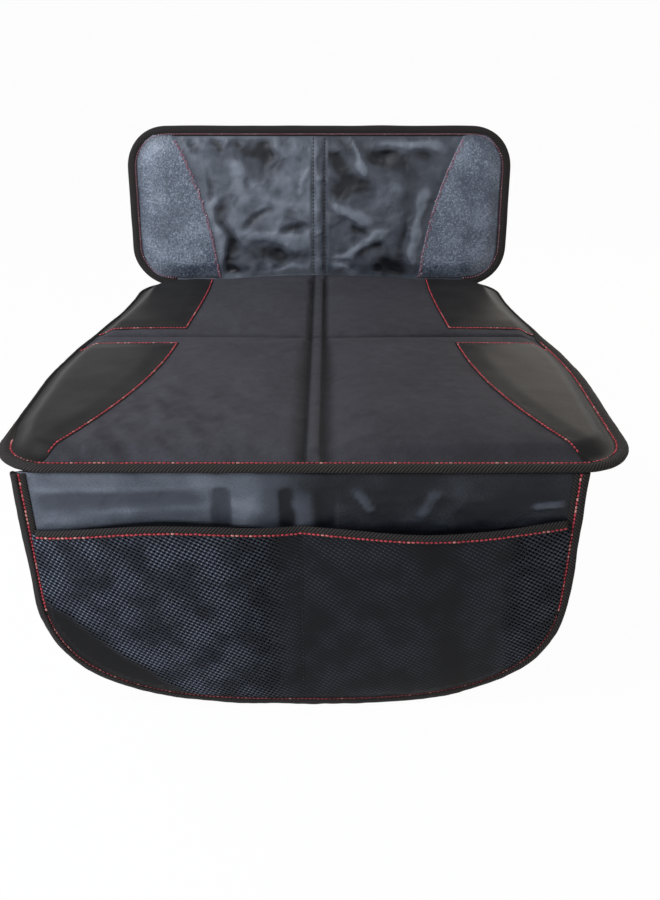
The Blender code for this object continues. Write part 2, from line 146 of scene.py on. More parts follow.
class Panel:
    # one flat panel: the right half of its outline from bottom to top, and where its plane stands

    def __init__(self, rightSide, placement):
        self.rightSide = rightSide
        self.placement = placement
        self.outline = np.array(rightSide + mirrored(rightSide))
        self.ends = np.roll(self.outline, -1, axis=0)

    def nearest(self, flat):
        run = self.ends - self.outline
        toPoint = flat[:, None, :] - self.outline[None]
        share = np.clip((toPoint * run).sum(2) / np.maximum((run ** 2).sum(1), 1e-12), 0.0, 1.0)
        place = self.outline + share[..., None] * run
        gap = np.linalg.norm(flat[:, None] - place, axis=2)
        closest = gap.argmin(1)
        rows = np.arange(len(flat))
        return place[rows, closest], gap[rows, closest]

    def depth(self, flat):
        # distance from the outline, positive inside
        gap = self.nearest(flat)[1]
        x, y = flat[:, :1], flat[:, 1:]
        startX, startY = self.outline.T
        endX, endY = self.ends.T
        rise = np.where(endY == startY, 1.0, endY - startY)
        crossed = ((startY > y) != (endY > y)) & (x < (endX - startX) * (y - startY) / rise + startX)
        return np.where(crossed.sum(1) % 2 == 1, gap, -gap)

    def halfWidth(self, y):
        side = np.array(self.rightSide)
        return np.interp(y, side[:, 1], side[:, 0])


# cloth laid out as a grid

def cellLines(low, high, cell, folds=(), foldCell=0.0011, foldReach=0.0065):
    # division lines, closer together beside the sewn folds
    lines = [low]
    while lines[-1] < high - cell / 3:
        nearFold = any(abs(lines[-1] - fold) < foldReach for fold in folds)
        lines.append(min(lines[-1] + (foldCell if nearFold else cell), high))
    return np.array(lines)


def mirroredLines(lines):
    return np.concatenate([-lines[:0:-1], lines])


def gridOf(columns, rows):
    # a grid whose lines stand at the given places; the flat place is kept on every point
    bm = bmesh.new()
    bmesh.ops.create_grid(bm, x_segments=len(columns) - 1, y_segments=len(rows) - 1, size=1.0)
    # a layer for the painted shade
    bm.verts.layers.float.new("shade")
    flat = bm.verts.layers.float_vector.new("flat")
    for vert in bm.verts:
        x = columns[round((vert.co.x + 1.0) / 2.0 * (len(columns) - 1))]
        y = rows[round((vert.co.y + 1.0) / 2.0 * (len(rows) - 1))]
        vert.co = (x, y, 0.0)
        vert[flat] = vert.co
    return bm, flat


def flatPlaces(bm, flat):
    return np.array([vert[flat][:2] for vert in bm.verts])


def trimToOutline(bm, flat, panel, margin):
    # cells outside the line go, and the edge that is left is pulled onto it
    places = flatPlaces(bm, flat)
    deep = panel.depth(places)
    outer = [vert for vert, depth in zip(bm.verts, deep) if depth < margin]
    bmesh.ops.delete(bm, geom=outer, context="VERTS")
    rim = [vert for vert in bm.verts if vert.is_boundary]
    places = np.array([vert[flat][:2] for vert in rim])
    onLine, gap = panel.nearest(places)
    pulled = onLine + (places - onLine) / gap[:, None] * margin
    for vert, (x, y) in zip(rim, pulled):
        vert.co = (x, y, 0.0)
        vert[flat] = vert.co


def raiseTo(bm, flat, surface):
    for vert, place in zip(bm.verts, surface(flatPlaces(bm, flat))):
        vert.co = place


def setShade(bm, amounts):
    # painted shade: how far each point turns to its finish's darker colour, from 0 to 1
    shade = bm.verts.layers.float["shade"]
    for vert, amount in zip(bm.verts, np.clip(amounts, 0.0, 1.0)):
        vert[shade] = amount


def closeBelow(bm, flat, underside):
    # a second skin under the cloth, joined to it all round
    raised = bmesh.ops.extrude_face_region(bm, geom=bm.faces[:], use_keep_orig=True)
    lower = [item for item in raised["geom"] if isinstance(item, bmesh.types.BMVert)]
    places = np.array([vert[flat][:2] for vert in lower])
    for vert, place in zip(lower, underside(places)):
        vert.co = place
    for face in raised["geom"]:
        if isinstance(face, bmesh.types.BMFace):
            face.material_index = 1
    return lower


def finishPiece(name, bm, placement, finishes, flat=None, slot=None, node=None):
    # the piece in its place, with its flat layout kept as a UV map in metres; where it has a slot, the CAD
    # part of the node it stands for is hidden
    if flat is not None:
        cloth = bm.loops.layers.uv.new("cloth")
        for face in bm.faces:
            for loop in face.loops:
                loop[cloth].uv = loop.vert[flat][:2]
    bm.transform(placement)
    bmesh.ops.recalc_face_normals(bm, faces=bm.faces[:])
    mesh = bpy.data.meshes.new(name)
    bm.to_mesh(mesh)
    bm.free()
    mesh.shade_smooth()
    piece = bpy.data.objects.new(name, mesh)
    scene.collection.objects.link(piece)
    for finish in finishes:
        mesh.materials.append(finish)
    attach(piece, "root")
    if slot:
        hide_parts(node)
    print(f"{name}: {len(mesh.polygons)} faces")
    return piece


def settleCloth(bm, free, slack):
    # lets the cloth between its seams buckle with its own excess, with gravity off
    mesh = bpy.data.meshes.new("settling")
    bm.to_mesh(mesh)
    sheet = bpy.data.objects.new("settling", mesh)
    scene.collection.objects.link(sheet)
    held = sheet.vertex_groups.new(name="held")
    held.add([i for i, share in enumerate(free) if share <= 0.0], 1.0, "REPLACE")
    loose = sheet.vertex_groups.new(name="loose")
    for index, share in enumerate(free):
        if share > 0.0:
            loose.add([index], float(share), "REPLACE")
    modifier = sheet.modifiers.new("slack", "CLOTH")
    cloth = modifier.settings
    cloth.quality = slack.steps
    cloth.mass = slack.mass
    cloth.tension_stiffness = cloth.compression_stiffness = slack.stretch
    cloth.shear_stiffness = slack.shear
    cloth.bending_stiffness = slack.bending
    cloth.vertex_group_mass = "held"
    cloth.vertex_group_shrink = "loose"
    cloth.shrink_min = 0.0
    cloth.shrink_max = -slack.excess
    cloth.use_pressure = True
    cloth.uniform_pressure_force = slack.pressure
    cloth.effector_weights.gravity = 0.0
    modifier.point_cache.frame_start = 1
    modifier.point_cache.frame_end = slack.frames
    for number in range(1, slack.frames + 1):
        scene.frame_set(number)
    settled = bpy.data.meshes.new_from_object(sheet.evaluated_get(bpy.context.evaluated_depsgraph_get()))
    moved = np.zeros(len(settled.vertices) * 3)
    settled.vertices.foreach_get("co", moved)
    bpy.data.objects.remove(sheet)
    scene.frame_set(1)
    return moved.reshape(-1, 3)


def buckle(bm, free, slack):
    # the settled cloth, held to the padding below it and to its greatest rise above it
    start = np.array([vert.co[:] for vert in bm.verts])
    moved = settleCloth(bm, free, slack) - start
    moved[:, 2] = np.where(
        moved[:, 2] > 0.0,
        slack.rise * np.tanh(moved[:, 2] / slack.rise),
        slack.sink * np.tanh(moved[:, 2] / slack.sink),
    )
    moved[:, :2] = np.clip(moved[:, :2], -slack.sideways, slack.sideways)
    for vert, step in zip(bm.verts, moved):
        vert.co += Vector(step)
    print(f"  buckled from {moved[:, 2].min() * 1000:.1f} to {moved[:, 2].max() * 1000:.1f} mm")


def sewnPad(name, node, panel, columns, rows, top, underside, looseness, relief, slack, trim, fabric, slot):
    # a padded panel: its fabric is wrinkled and settled between the seams, and backing cloth closes it
    bm, flat = gridOf(mirroredLines(columns), rows)
    trimToOutline(bm, flat, panel, trim)
    raiseTo(bm, flat, top)
    places = flatPlaces(bm, flat)
    free = looseness(places)
    lifts, shade = relief(places, free)
    setShade(bm, shade)
    for vert, lift in zip(bm.verts, lifts):
        vert.co.z += lift
    buckle(bm, free, slack)
    closeBelow(bm, flat, underside)
    pad = finishPiece(name, bm, panel.placement, [fabric, backing], flat, slot, node)
    return pad


# tape, facings and stitches, which are used on several panels

def whole(line):
    return np.ones(len(line))


def tapeStrip(name, node, path, profile, placement, tape, base=(0.0, 0.0), keep=whole):
    # a folded strip round an edge: the profile gives its reach out of the edge and its height
    line = evenly(path, tape.cell)
    normal = outwards(line)
    heights = np.interp(np.linspace(0, 1, len(line)), np.linspace(0, 1, len(base)), base)
    rib = np.array(profile)
    kept = keep(line)
    bm, flat = gridOf(np.arange(len(line)), np.arange(len(rib)))
    across = np.concatenate([[0.0], np.cumsum(np.linalg.norm(np.diff(rib, axis=0), axis=1))])
    for vert in bm.verts:
        i, j = round(vert[flat].x), round(vert[flat].y)
        soft = noise.noise(Vector((i * tape.cell / tape.wave, j * 0.15, tape.seed)))
        fine = noise.noise(Vector((i * tape.cell / tape.pucker, j * 0.3, tape.seed + 9.0)))
        inner = 1.0 - abs(2.0 * j / (len(rib) - 1) - 1.0)
        reach = rib[j, 0] * (kept[i] if rib[j, 0] < 0.0 else 1.0)
        x, y = line[i, :2] + normal[i] * (reach + tape.waviness * soft * inner)
        lift = tape.waviness * (soft + 0.6 * fine) * inner * (1 if rib[j, 1] > np.mean(rib[:, 1]) else -1)
        vert.co = (x, y, heights[i] + rib[j, 1] + lift)
        vert[flat] = (i * tape.cell, across[j], 0.0)
    bmesh.ops.recalc_face_normals(bm, faces=bm.faces[:])
    bm.normal_update()
    edge = [vert for vert in bm.verts if abs(vert[flat].y - across[len(rib) // 2]) < edgeGap / 10]
    outside = sum(vert.normal.xy.dot(Vector(normal[round(vert[flat].x / tape.cell)])) for vert in edge)
    bmesh.ops.solidify(bm, geom=bm.faces[:], thickness=math.copysign(tape.thickness, outside))
    return finishPiece(name, bm, placement, [tapeCloth], flat, "bias_tape", node)


def foldedProfile(low, high, tape):
    # from the upper inner edge, over the panel's edge, to the lower inner edge
    cover, bulge, groove = tape.cover, tape.bulge, tape.groove
    middle = (low + high) / 2
    upper = [
        (-cover, high + 0.0003), (-cover + 0.0005, high + 0.0009), (-cover + groove - 0.0009, high + 0.0010),
        (-cover + groove, high + 0.0005), (-cover + groove + 0.0010, high + 0.0010),
        (-cover * 0.45, high + 0.0012 + bulge), (-cover * 0.22, high + 0.0012 + bulge),
        (-0.0002, high + 0.0010), (0.0009, high + 0.0002),
    ]
    lower = [(x, 2 * middle - y + (0.0012 + bulge if y > high + 0.0012 else 0.0)) for x, y in reversed(upper)]
    return upper + [(0.0012, middle)] + lower


def facingPatch(name, node, panel, surface, seam, rows, side, finish, patch, slot, keep=whole):
    # leatherette over a pad, between its seam and the tape, with a soft rolled edge
    columns = np.concatenate([[0.0, 0.004, 0.012, 0.03], np.linspace(0.06, 1.0, patch.columns)])
    bm, flat = gridOf(columns, rows)
    share, y = flatPlaces(bm, flat).T
    inner = seamAt(seam, y)
    outer = panel.halfWidth(y)
    kept = keep(points(side * outer, y))
    across = blend(inner, outer - patch.tuck * kept, share)
    laid = points(side * across, y)
    top = surface(laid)
    fromSeam = across - inner
    if patch.foldAt is not None:
        fromSeam = np.minimum(fromSeam, patch.foldSide * (patch.foldAt - y))
    deep = panel.depth(laid)
    grooved = patch.groove * np.exp(-((fromSeam - patch.sewnAt) / patch.grooveWidth) ** 2)
    rolled = patch.thickness * smooth(fromSeam / patch.rollReach)
    swell = patch.swell * smooth((fromSeam - patch.sewnAt) / patch.swellReach)
    swell *= smooth((deep - patch.underTape) / patch.swellFade)
    puckers = ripple(laid, patch.puckerSize, patch.seed, 2)
    puckers *= patch.pucker * np.exp(-np.abs(fromSeam) / patch.puckerReach)
    wrinkles = patch.wrinkle * ripple(laid, patch.wrinkleSize, patch.seed + 5, 2)
    wrinkles *= smooth(fromSeam / patch.swellReach)
    top[:, 2] += edgeGap + rolled - grooved + swell + puckers + wrinkles
    for vert, place, spot in zip(bm.verts, top, laid):
        vert.co = place
        vert[flat] = (*spot, 0.0)
    # painted shadow: the facing darkens towards the tape
    fromTape = (deep - patch.underTape * kept) / patch.shadeReach
    setShade(bm, (1.0 - smooth(fromTape)) * patch.edgeShade)
    raised = bmesh.ops.extrude_face_region(bm, geom=bm.faces[:], use_keep_orig=True)
    for item in raised["geom"]:
        if isinstance(item, bmesh.types.BMVert):
            item.co.z -= patch.thickness * 0.7
    return finishPiece(name, bm, panel.placement, [finish], flat, slot, node)


def sewBead(bm, tone, start, end, stitch, dice):
    # one thread bead between two points of the cloth
    run = Vector(end) - Vector(start)
    along = run.normalized()
    across = Vector((0.0, 0.0, 1.0)).cross(along).normalized()
    normal = along.cross(across)
    centre = (Vector(start) + Vector(end)) / 2 + across * dice.gauss(0.0, stitch.wander)
    half = run.length / 2 * stitch.fill * dice.uniform(0.9, 1.05)
    axes = along * half, across * stitch.width / 2, normal * stitch.height / 2
    turn = Matrix(axes).transposed().to_4x4()
    turn.translation = centre
    bead = bmesh.ops.create_icosphere(bm, subdivisions=1, radius=1.0, matrix=turn)
    # the stitch's tone; the highest tones take the pale colour as a painted glint
    shade = stitch.bright + (1.0 - stitch.bright) * dice.random()
    for vert in bead["verts"]:
        vert[tone] = shade


def sewLine(bm, tone, line, stitch, dice):
    # beads along a line of points that stands on the cloth
    line = evenly(line, stitch.pitch)
    for start, end in zip(line[:-1], line[1:]):
        sewBead(bm, tone, start, end, stitch, dice)


def sewTack(bm, tone, line, stitch, tack, dice):
    # a bar tack: short stitches side by side across the end of a seam
    line = evenly(line, tack.pitch)
    beside = np.column_stack([outwards(line) * tack.reach, np.zeros(len(line))])
    for start, end in zip(line - beside, line + beside):
        sewBead(bm, tone, start, end, varied(stitch, width=tack.width, bright=tack.bright), dice)


def stitchPiece(name, lines, placement, finish, stitch, tacks=(), tack=None):
    bm = bmesh.new()
    tone = bm.verts.layers.float.new("tone")
    dice = random.Random(stitch.seed)
    for line in lines:
        sewLine(bm, tone, line, stitch, dice)
    for line in tacks:
        sewTack(bm, tone, line, stitch, tack, dice)
    return finishPiece(name, bm, placement, [finish])


# materials: numbers and node outputs combine as Python expressions

def mathNode(operation, swapped=False):
    # a method that makes one math node of a signal and, where the operation has one, a second value
    def method(self, *others):
        values = (*others, self) if swapped else (self, *others)
        return self.finish.node("Math", {"operation": operation}, dict(enumerate(values)))

    return method


class Signal:
    # a node's output inside one finish

    def __init__(self, finish, socket):
        self.finish = finish
        self.socket = socket

    __add__ = mathNode("ADD")
    __radd__ = mathNode("ADD", swapped=True)
    __sub__ = mathNode("SUBTRACT")
    __rsub__ = mathNode("SUBTRACT", swapped=True)
    __mul__ = mathNode("MULTIPLY")
    __rmul__ = mathNode("MULTIPLY", swapped=True)
    __pow__ = mathNode("POWER")
    sine = mathNode("SINE")
    size = mathNode("ABSOLUTE")
    above = mathNode("GREATER_THAN")
    highest = mathNode("MAXIMUM")

    def between(self, low, high):
        # 0 at low and 1 at high, with a soft step
        ranged = {"interpolation_type": "SMOOTHSTEP"}
        return self.finish.node("MapRange", ranged, {"Value": self, "From Min": low, "From Max": high})


class Nodes:
    # one node tree; node() makes any node from its type, settings and socket values

    def __init__(self, tree):
        self.tree = tree

    def node(self, kind, settings=None, values=None, output=0):
        made = self.tree.nodes.new("ShaderNode" + kind)
        for name, value in (settings or {}).items():
            setattr(made, name, value)
        for name, value in (values or {}).items():
            self.feed(made.inputs[name], value)
        return Signal(self, made.outputs[output])

    def feed(self, socket, value):
        if isinstance(value, Signal):
            self.tree.links.new(value.socket, socket)
        else:
            socket.default_value = value


socketTitles = {
    "baseColor": "Base Color", "roughness": "Roughness", "normal": "Normal", "alpha": "Alpha",
    "specular": "Specular IOR Level", "sheen": "Sheen Weight", "sheenRoughness": "Sheen Roughness",
}


class Finish(Nodes):
    # one material, with the patterns that several finishes share

    def __init__(self, name):
        self.material = bpy.data.materials.new(name)
        self.material.use_nodes = True
        super().__init__(self.material.node_tree)
        self.shader = self.tree.nodes["Principled BSDF"]

    def surface(self, **values):
        for name, value in values.items():
            self.feed(self.shader.inputs[socketTitles[name]], value)
        return self.material

    def shade(self):
        # the painted shade that setShade kept on each point
        return self.node("Attribute", {"attribute_name": "shade"}, output="Fac")

    def cloth(self):
        # the piece's flat layout, in metres
        return self.node("UVMap", {"uv_map": "cloth"})

    def axes(self, place):
        parts = self.tree.nodes.new("ShaderNodeSeparateXYZ")
        self.feed(parts.inputs[0], place)
        return [Signal(self, part) for part in parts.outputs]

    def noise(self, place, size, detail=2.0, roughness=0.5):
        values = {"Vector": place, "Scale": 1.0 / size, "Detail": detail, "Roughness": roughness}
        return self.node("TexNoise", {}, values)

    def cells(self, place, size, feature="F1", output="Distance"):
        return self.node("TexVoronoi", {"feature": feature}, {"Vector": place, "Scale": 1.0 / size}, output)

    def mixed(self, share, first, second):
        # a colour is a code or a signal; the node's colour sockets are 6 and 7, and its colour result is 2
        first, second = [tint(color) if isinstance(color, str) else color for color in (first, second)]
        values = {0: share, 6: first, 7: second}
        return self.node("Mix", {"data_type": "RGBA"}, values, 2)

    def bump(self, height, distance, strength=1.0, onto=None):
        values = {"Strength": strength, "Distance": distance, "Height": height}
        if onto is not None:
            values["Normal"] = onto
        return self.node("Bump", {}, values)


def tint(code):
    # a colour as it is written on screens, made linear
    parts = [int(code[i:i + 2], 16) / 255 for i in (0, 2, 4)]
    linear = [part / 12.92 if part <= 0.04045 else ((part + 0.055) / 1.055) ** 2.4 for part in parts]
    return (*linear, 1.0)


def plainWeave(finish, x, y, pitch):
    # threads that pass over and under each other, from 0 to 1
    turn = math.pi / pitch
    acrossX = (x * turn).sine()
    acrossY = (y * turn).sine()
    over = (acrossX * acrossY).above(0.0)
    warp = acrossX.size() ** 0.7
    weft = acrossY.size() ** 0.7
    return warp * over + weft * (1 - over)


# fold is a painted shade colour for the fabric's folds and troughs
wovenColors = Settings(dark="2b2a2d", light="525057", fold="19181a", pitch=0.00105)


def wovenFinish():
    finish = Finish("wovenFabric")
    place = finish.cloth()
    x, y, _ = finish.axes(place)
    weave = plainWeave(finish, x, y, wovenColors.pitch)
    slub = finish.noise(place, 0.0028, 3.0, 0.7)
    cloud = finish.noise(place, 0.05, 2.0)
    mottle = finish.noise(place, 0.010, 3.0, 0.6)
    tone = weave * 0.25 + slub * 0.3 + cloud * 0.2 + mottle * 0.3
    cloth = finish.mixed(tone.between(0.2, 0.85), wovenColors.dark, wovenColors.light)
    # painted shade: the fabric turns to the fold colour as far as the shade layer says
    color = finish.mixed(finish.shade(), cloth, wovenColors.fold)
    crumple = finish.noise(place, 0.018, 2.0)
    soft = finish.bump(crumple, 0.0030, 0.6)
    threads = finish.bump(weave * 0.6 + slub * 0.6, 0.00035, 0.7, soft)
    return finish.surface(
        baseColor=color, roughness=slub * 0.12 + 0.66, normal=threads, specular=0.1,
        sheen=0.03, sheenRoughness=0.5,
    )


# light and dark are painted light and painted shade around the nylon's middle colour
nylonColors = Settings(dark="17191e", middle="484c55", light="7d838d", pitch=0.0009)


def nylonFinish(name, crease):
    finish = Finish(name)
    place = finish.cloth()
    x, y, _ = finish.axes(place)
    twill = ((x + y) * (2 * math.pi / nylonColors.pitch)).sine() * 0.5 + 0.5
    grain = finish.noise(place, 0.0016, 2.0, 0.6)
    cloud = finish.noise(place, crease.size, 3.0, 0.45)
    ridge = 1 - (cloud * 2 - 1).size() * 2.0
    swirl = finish.noise(place, 0.03, 2.0) * 0.035
    bent = finish.node("CombineXYZ", {}, {"X": x + swirl, "Y": y * 0.8 - swirl})
    facet = finish.cells(bent, 0.024)
    # painted light and shade: the shade layer, cloud mottling and the crinkles' facets lighten or darken the
    # nylon
    dusk = finish.shade() + (cloud - 0.5) * crease.mottle + (grain - 0.5) * 0.25
    dusk = dusk + (facet - 0.4) * crease.facet
    upper = finish.mixed(dusk.between(0.0, 0.5), nylonColors.light, nylonColors.middle)
    color = finish.mixed(dusk.between(0.5, 1.0), upper, nylonColors.dark)
    crumple = finish.bump(1 - facet, crease.facet * 0.006, 0.8)
    folds = finish.bump(ridge, crease.depth, 1.0, crumple)
    threads = finish.bump(twill * 0.5 + grain * 0.5, 0.0002, 0.5, folds)
    return finish.surface(
        baseColor=color, roughness=grain * 0.12 + 0.33, normal=threads, specular=crease.gloss
    )


# edge is a painted shadow colour beside the tape
leatherColors = Settings(dark="1b1919", light="282625", edge="111010")


def smoothLeatherFinish():
    finish = Finish("smoothLeatherette")
    place = finish.cloth()
    pores = finish.cells(place, 0.0013, "SMOOTH_F1")
    cloud = finish.noise(place, 0.03, 2.0)
    grain = finish.noise(place, 0.0012, 3.0, 0.7)
    tone = (cloud * 0.6 + grain * 0.4).between(0.3, 0.75)
    leather = finish.mixed(tone, leatherColors.dark, leatherColors.light)
    # painted shadow beside the tape
    color = finish.mixed(finish.shade(), leather, leatherColors.edge)
    soft = finish.bump(finish.noise(place, 0.022, 2.0), 0.0008, 0.3)
    normal = finish.bump(pores * 0.8 + grain * 0.4, 0.0002, 0.55, soft)
    return finish.surface(baseColor=color, roughness=grain * 0.1 + 0.42, normal=normal, specular=0.09)


# edge is a painted shadow colour beside the tape
pebbleColors = Settings(dark="454e5d", light="9aa3b2", edge="303742")


def pebbledLeatherFinish():
    finish = Finish("pebbledLeatherette")
    place = finish.cloth()
    pebbles = finish.cells(place, 0.0019, "SMOOTH_F1")
    specks = finish.cells(place, 0.0013, "F1", "Color")
    speck, _, _ = finish.axes(specks)
    cloud = finish.noise(place, 0.045, 3.0)
    top = 1 - pebbles * 1.6
    # painted highlight: the pebbles' tops are lighter; the specks and clouds vary at random
    tone = top * 0.24 + speck.between(0.6, 1.0) * 0.30 + (cloud - 0.5) * 1.0 + 0.34
    leather = finish.mixed(tone.between(0.2, 1.0), pebbleColors.dark, pebbleColors.light)
    # painted shadow beside the tape
    color = finish.mixed(finish.shade(), leather, pebbleColors.edge)
    soft = finish.bump(finish.noise(place, 0.020, 2.0), 0.0016, 0.5)
    normal = finish.bump(top, 0.0005, 0.7, soft)
    return finish.surface(baseColor=color, roughness=0.30 + speck * 0.16, normal=normal, specular=0.5)


tapeColors = Settings(dark="181615", light="3f3b39", rib=0.0028)


def tapeFinish():
    finish = Finish("biasTape")
    place = finish.cloth()
    along, across, _ = finish.axes(place)
    rib = ((along + across * 0.9) * (2 * math.pi / tapeColors.rib)).sine() * 0.5 + 0.5
    lint = finish.noise(place, 0.0009, 2.0, 0.7)
    tone = (rib * 0.7 + lint * 0.4).between(0.2, 0.95)
    color = finish.mixed(tone, tapeColors.dark, tapeColors.light)
    normal = finish.bump(rib * 0.8 + lint * 0.4, 0.00045, 0.9)
    return finish.surface(baseColor=color, roughness=0.68 + lint * 0.1, normal=normal, specular=0.12)


# each thread's deep, middle and pale colour; the pale colour is a painted glint on some stitches, and the
# dull red is a darker copy of the red as painted shade
threadColors = {
    "redThread": ("a3303b", "cb4852", "e39a90"),
    "dullRedThread": ("5a2125", "8c3a3f", "b8766e"),
    "pinkThread": ("8a4e5c", "b87585", "d8b0b8"),
    "blackThread": ("0b0b0c", "151516", "2a2a2c"),
}


def threadFinish(name):
    finish = Finish(name)
    deep, middle, glint = threadColors[name]
    tone = finish.node("Attribute", {"attribute_name": "tone"}, output="Fac")
    body = finish.mixed(tone.between(0.0, 0.7), deep, middle)
    # painted glint: the palest stitches turn to the pale colour
    color = finish.mixed(tone.between(0.8, 1.0), body, glint)
    return finish.surface(baseColor=color, roughness=0.5, specular=0.3)


# light and dot are painted sheen and painted glints on the strands and knots, and fold is a painted shade
# colour
meshColors = Settings(
    dark="17181d", light="4a505f", dot="949cac", fold="0d0d10",
    pitch=0.0030, knotPitch=0.0034, slope=0.6, hole=0.48,
)


def meshFinish():
    # strands run both ways on the slant, knotted where they cross, and between them it is cut away; the
    # strands' sheen and the knots' glints are painted, and where the painted shade is deep the holes close
    # and the mesh turns dark and smooth
    finish = Finish("openMesh")
    place = finish.cloth()
    x, y, _ = finish.axes(place)
    length = math.hypot(1.0, meshColors.slope)
    across = ((y + x * meshColors.slope) * (math.pi / meshColors.pitch / length)).sine().size()
    along = ((x - y * meshColors.slope) * (math.pi / meshColors.knotPitch / length)).sine().size()
    holes = across * along
    sheen = finish.noise(place, 0.026, 2.0)
    grain = finish.noise(place, 0.0012, 2.0)
    shade = finish.shade()
    # painted sheen: the strands' crests and blotches of sheen are lighter
    lit = (1 - across) * 0.55 + sheen * 0.75 + (grain - 0.5) * 0.4
    strand = finish.mixed(lit.between(0.35, 1.05), meshColors.dark, meshColors.light)
    # painted glints: the knots light up where the painted sheen is
    knot = ((1 - across) * (1 - along)).between(0.30, 0.75) * sheen.between(0.38, 0.62)
    knotted = finish.mixed(knot, strand, meshColors.dot)
    # painted shade: the mesh turns to the fold colour as far as the shade layer says
    color = finish.mixed(shade, knotted, meshColors.fold)
    cut = holes.between(meshColors.hole, meshColors.hole + 0.14) * (1 - shade.between(0.35, 0.8))
    normal = finish.bump((1 - holes) * (1 - shade), 0.0009, 0.8)
    return finish.surface(
        baseColor=color, roughness=0.42 + grain * 0.15, normal=normal, alpha=1 - cut, specular=0.12
    )


backingColors = Settings(cloth="1d1d1f", dot="0e0e0f", pitch=0.008)


def backingFinish():
    # the underside: plain backing cloth with a grid of rubber dots
    finish = Finish("nonSlipBacking")
    place = finish.cloth()
    x, y, _ = finish.axes(place)
    turn = 2 * math.pi / backingColors.pitch
    dots = ((x * turn).sine() + (y * turn).sine()) * 0.5
    dot = dots.between(0.45, 0.62)
    grain = finish.noise(place, 0.0012, 2.0)
    cloth = finish.mixed(grain, backingColors.cloth, tapeColors.light)
    color = finish.mixed(dot, cloth, backingColors.dot)
    normal = finish.bump(dot + grain * 0.15, 0.0008, 0.8)
    return finish.surface(baseColor=color, roughness=0.75 - dot * 0.3, normal=normal, specular=0.35)


woven = wovenFinish()
# facet also paints light and shade on the nylon's crinkle facets, besides bumping them
backCrease = Settings(size=0.060, depth=0.0034, mottle=0.45, gloss=0.3, facet=0.36)
flapCrease = Settings(size=0.050, depth=0.0012, mottle=0.4, gloss=0.18, facet=0.12)
backNylon = nylonFinish("crinkledNylon", backCrease)
flapNylon = nylonFinish("flapNylon", flapCrease)
smoothLeather = smoothLeatherFinish()
pebbledLeather = pebbledLeatherFinish()
tapeCloth = tapeFinish()
redThread, shadedThread, pinkThread, blackThread = [threadFinish(name) for name in threadColors]
openMesh = meshFinish()
backing = backingFinish()
print("materials ready")


# seat panel

seat = Settings(
    cell=0.0032, front=seatBox[0].y, depth=0.455,
    frontHalfWidth=0.241, rearHalfWidth=0.2075, frontCorner=0.045, rearCorner=0.050,
    taperStart=0.150, taperLength=0.255,
    padThickness=0.0088, crown=0.0042, shoulder=0.018, rimWidth=0.0095,
    rise=0.009, riseLength=0.075, recline=math.radians(10.0),
    crossFold=0.258, strip=0.0066, foldDepth=0.0042, crossReach=0.0050, crossDepth=0.0016,
    stripReach=0.0040, frontTrough=0.0135, rearTrough=0.0070, wrinkle=0.0006, gathered=4.4,
    frontMargin=0.025, rearMargin=0.014, rolled=0.65, rollStart=0.035, rollBlend=0.04,
    squareness=2.6, trim=0.003, seamEdge=0.207, frontCorners=0.133, frontBow=0.017,
    rearCorners=0.131, rearEdge=0.123, rearBow=0.003,
)
seatRear = seat.front + seat.depth
crossFold = seat.front + seat.crossFold


def seatSide():
    corner, rear = seat.frontCorner, seat.rearCorner
    wide, narrow, front = seat.frontHalfWidth, seat.rearHalfWidth, seat.front
    low = arc(wide - corner, front + corner, corner, -90, 0)
    high = arc(narrow - rear, seatRear - rear, rear, 0, 90)
    heights = np.linspace(low[-1][1], high[0][1], 30)[1:-1]
    widths = blend(wide, narrow, smooth((heights - front - seat.taperStart) / seat.taperLength))
    return low + list(zip(widths, heights)) + high


seatPanel = Panel(seatSide(), Matrix.Identity(4))


def tapeKept(flat):
    # how much of the tape's width lies on top: the left side's and the rear right's is rolled down
    x, y = flat.T
    left = smooth((-0.15 - x) / 0.03) * smooth((y - seat.front - seat.rollStart) / seat.rollBlend)
    right = smooth((x - 0.15) / 0.03) * smooth((y - crossFold + 0.005) / seat.rollBlend)
    return 1.0 - seat.rolled * np.maximum(left, right)


def sewnDip(distance, reach):
    return 1.0 - smooth(np.abs(distance) / reach)


def troughShare(x, y):
    # 1 along the strip's seams; the troughs beside the strip are wider in the front half
    off = np.abs(x) - seat.strip
    outer = blend(seat.rearTrough, seat.frontTrough, smooth((crossFold - y) / 0.05))
    return sewnDip(off, np.where(off > 0.0, outer, seat.stripReach))


def seatRise(x, y):
    # how far the rear edge arches up where it meets the back panel
    straight = seat.rearHalfWidth - seat.rearCorner
    arched = seat.rise * (1.0 - np.minimum(np.abs(x) / straight, 1.0) ** 2)
    return arched * smooth(1.0 - (seatRear - y) / seat.riseLength)


def seatTop(flat):
    x, y = flat.T
    deep = seatPanel.depth(flat)
    inside = smooth((deep - seat.rimWidth * tapeKept(flat)) / seat.shoulder)
    width = np.where(y > crossFold, seatPanel.halfWidth(y), seat.frontHalfWidth)
    half = (width - seat.strip) / 2
    across = 1.0 - np.minimum(np.abs(np.abs(x) - seat.strip - half) / half, 1.0) ** seat.squareness
    reach = np.where(y > crossFold, seatRear - crossFold, crossFold - seat.front) / 2
    middle = np.where(y > crossFold, crossFold + reach, crossFold - reach)
    along = 1.0 - np.minimum(np.abs(y - middle) / reach, 1.0) ** seat.squareness
    crown = seat.crown * np.sqrt(np.maximum(across * along, 0.0))
    crossDip = seat.crossDepth * sewnDip(y - crossFold, seat.crossReach)
    dip = np.maximum(seat.foldDepth * troughShare(x, y), crossDip)
    rise = seatRise(x, y)
    z = blend(rimTop, seat.padThickness, inside) + inside * (crown - dip) + rise
    return points(x, y + rise * math.tan(seat.recline), z)


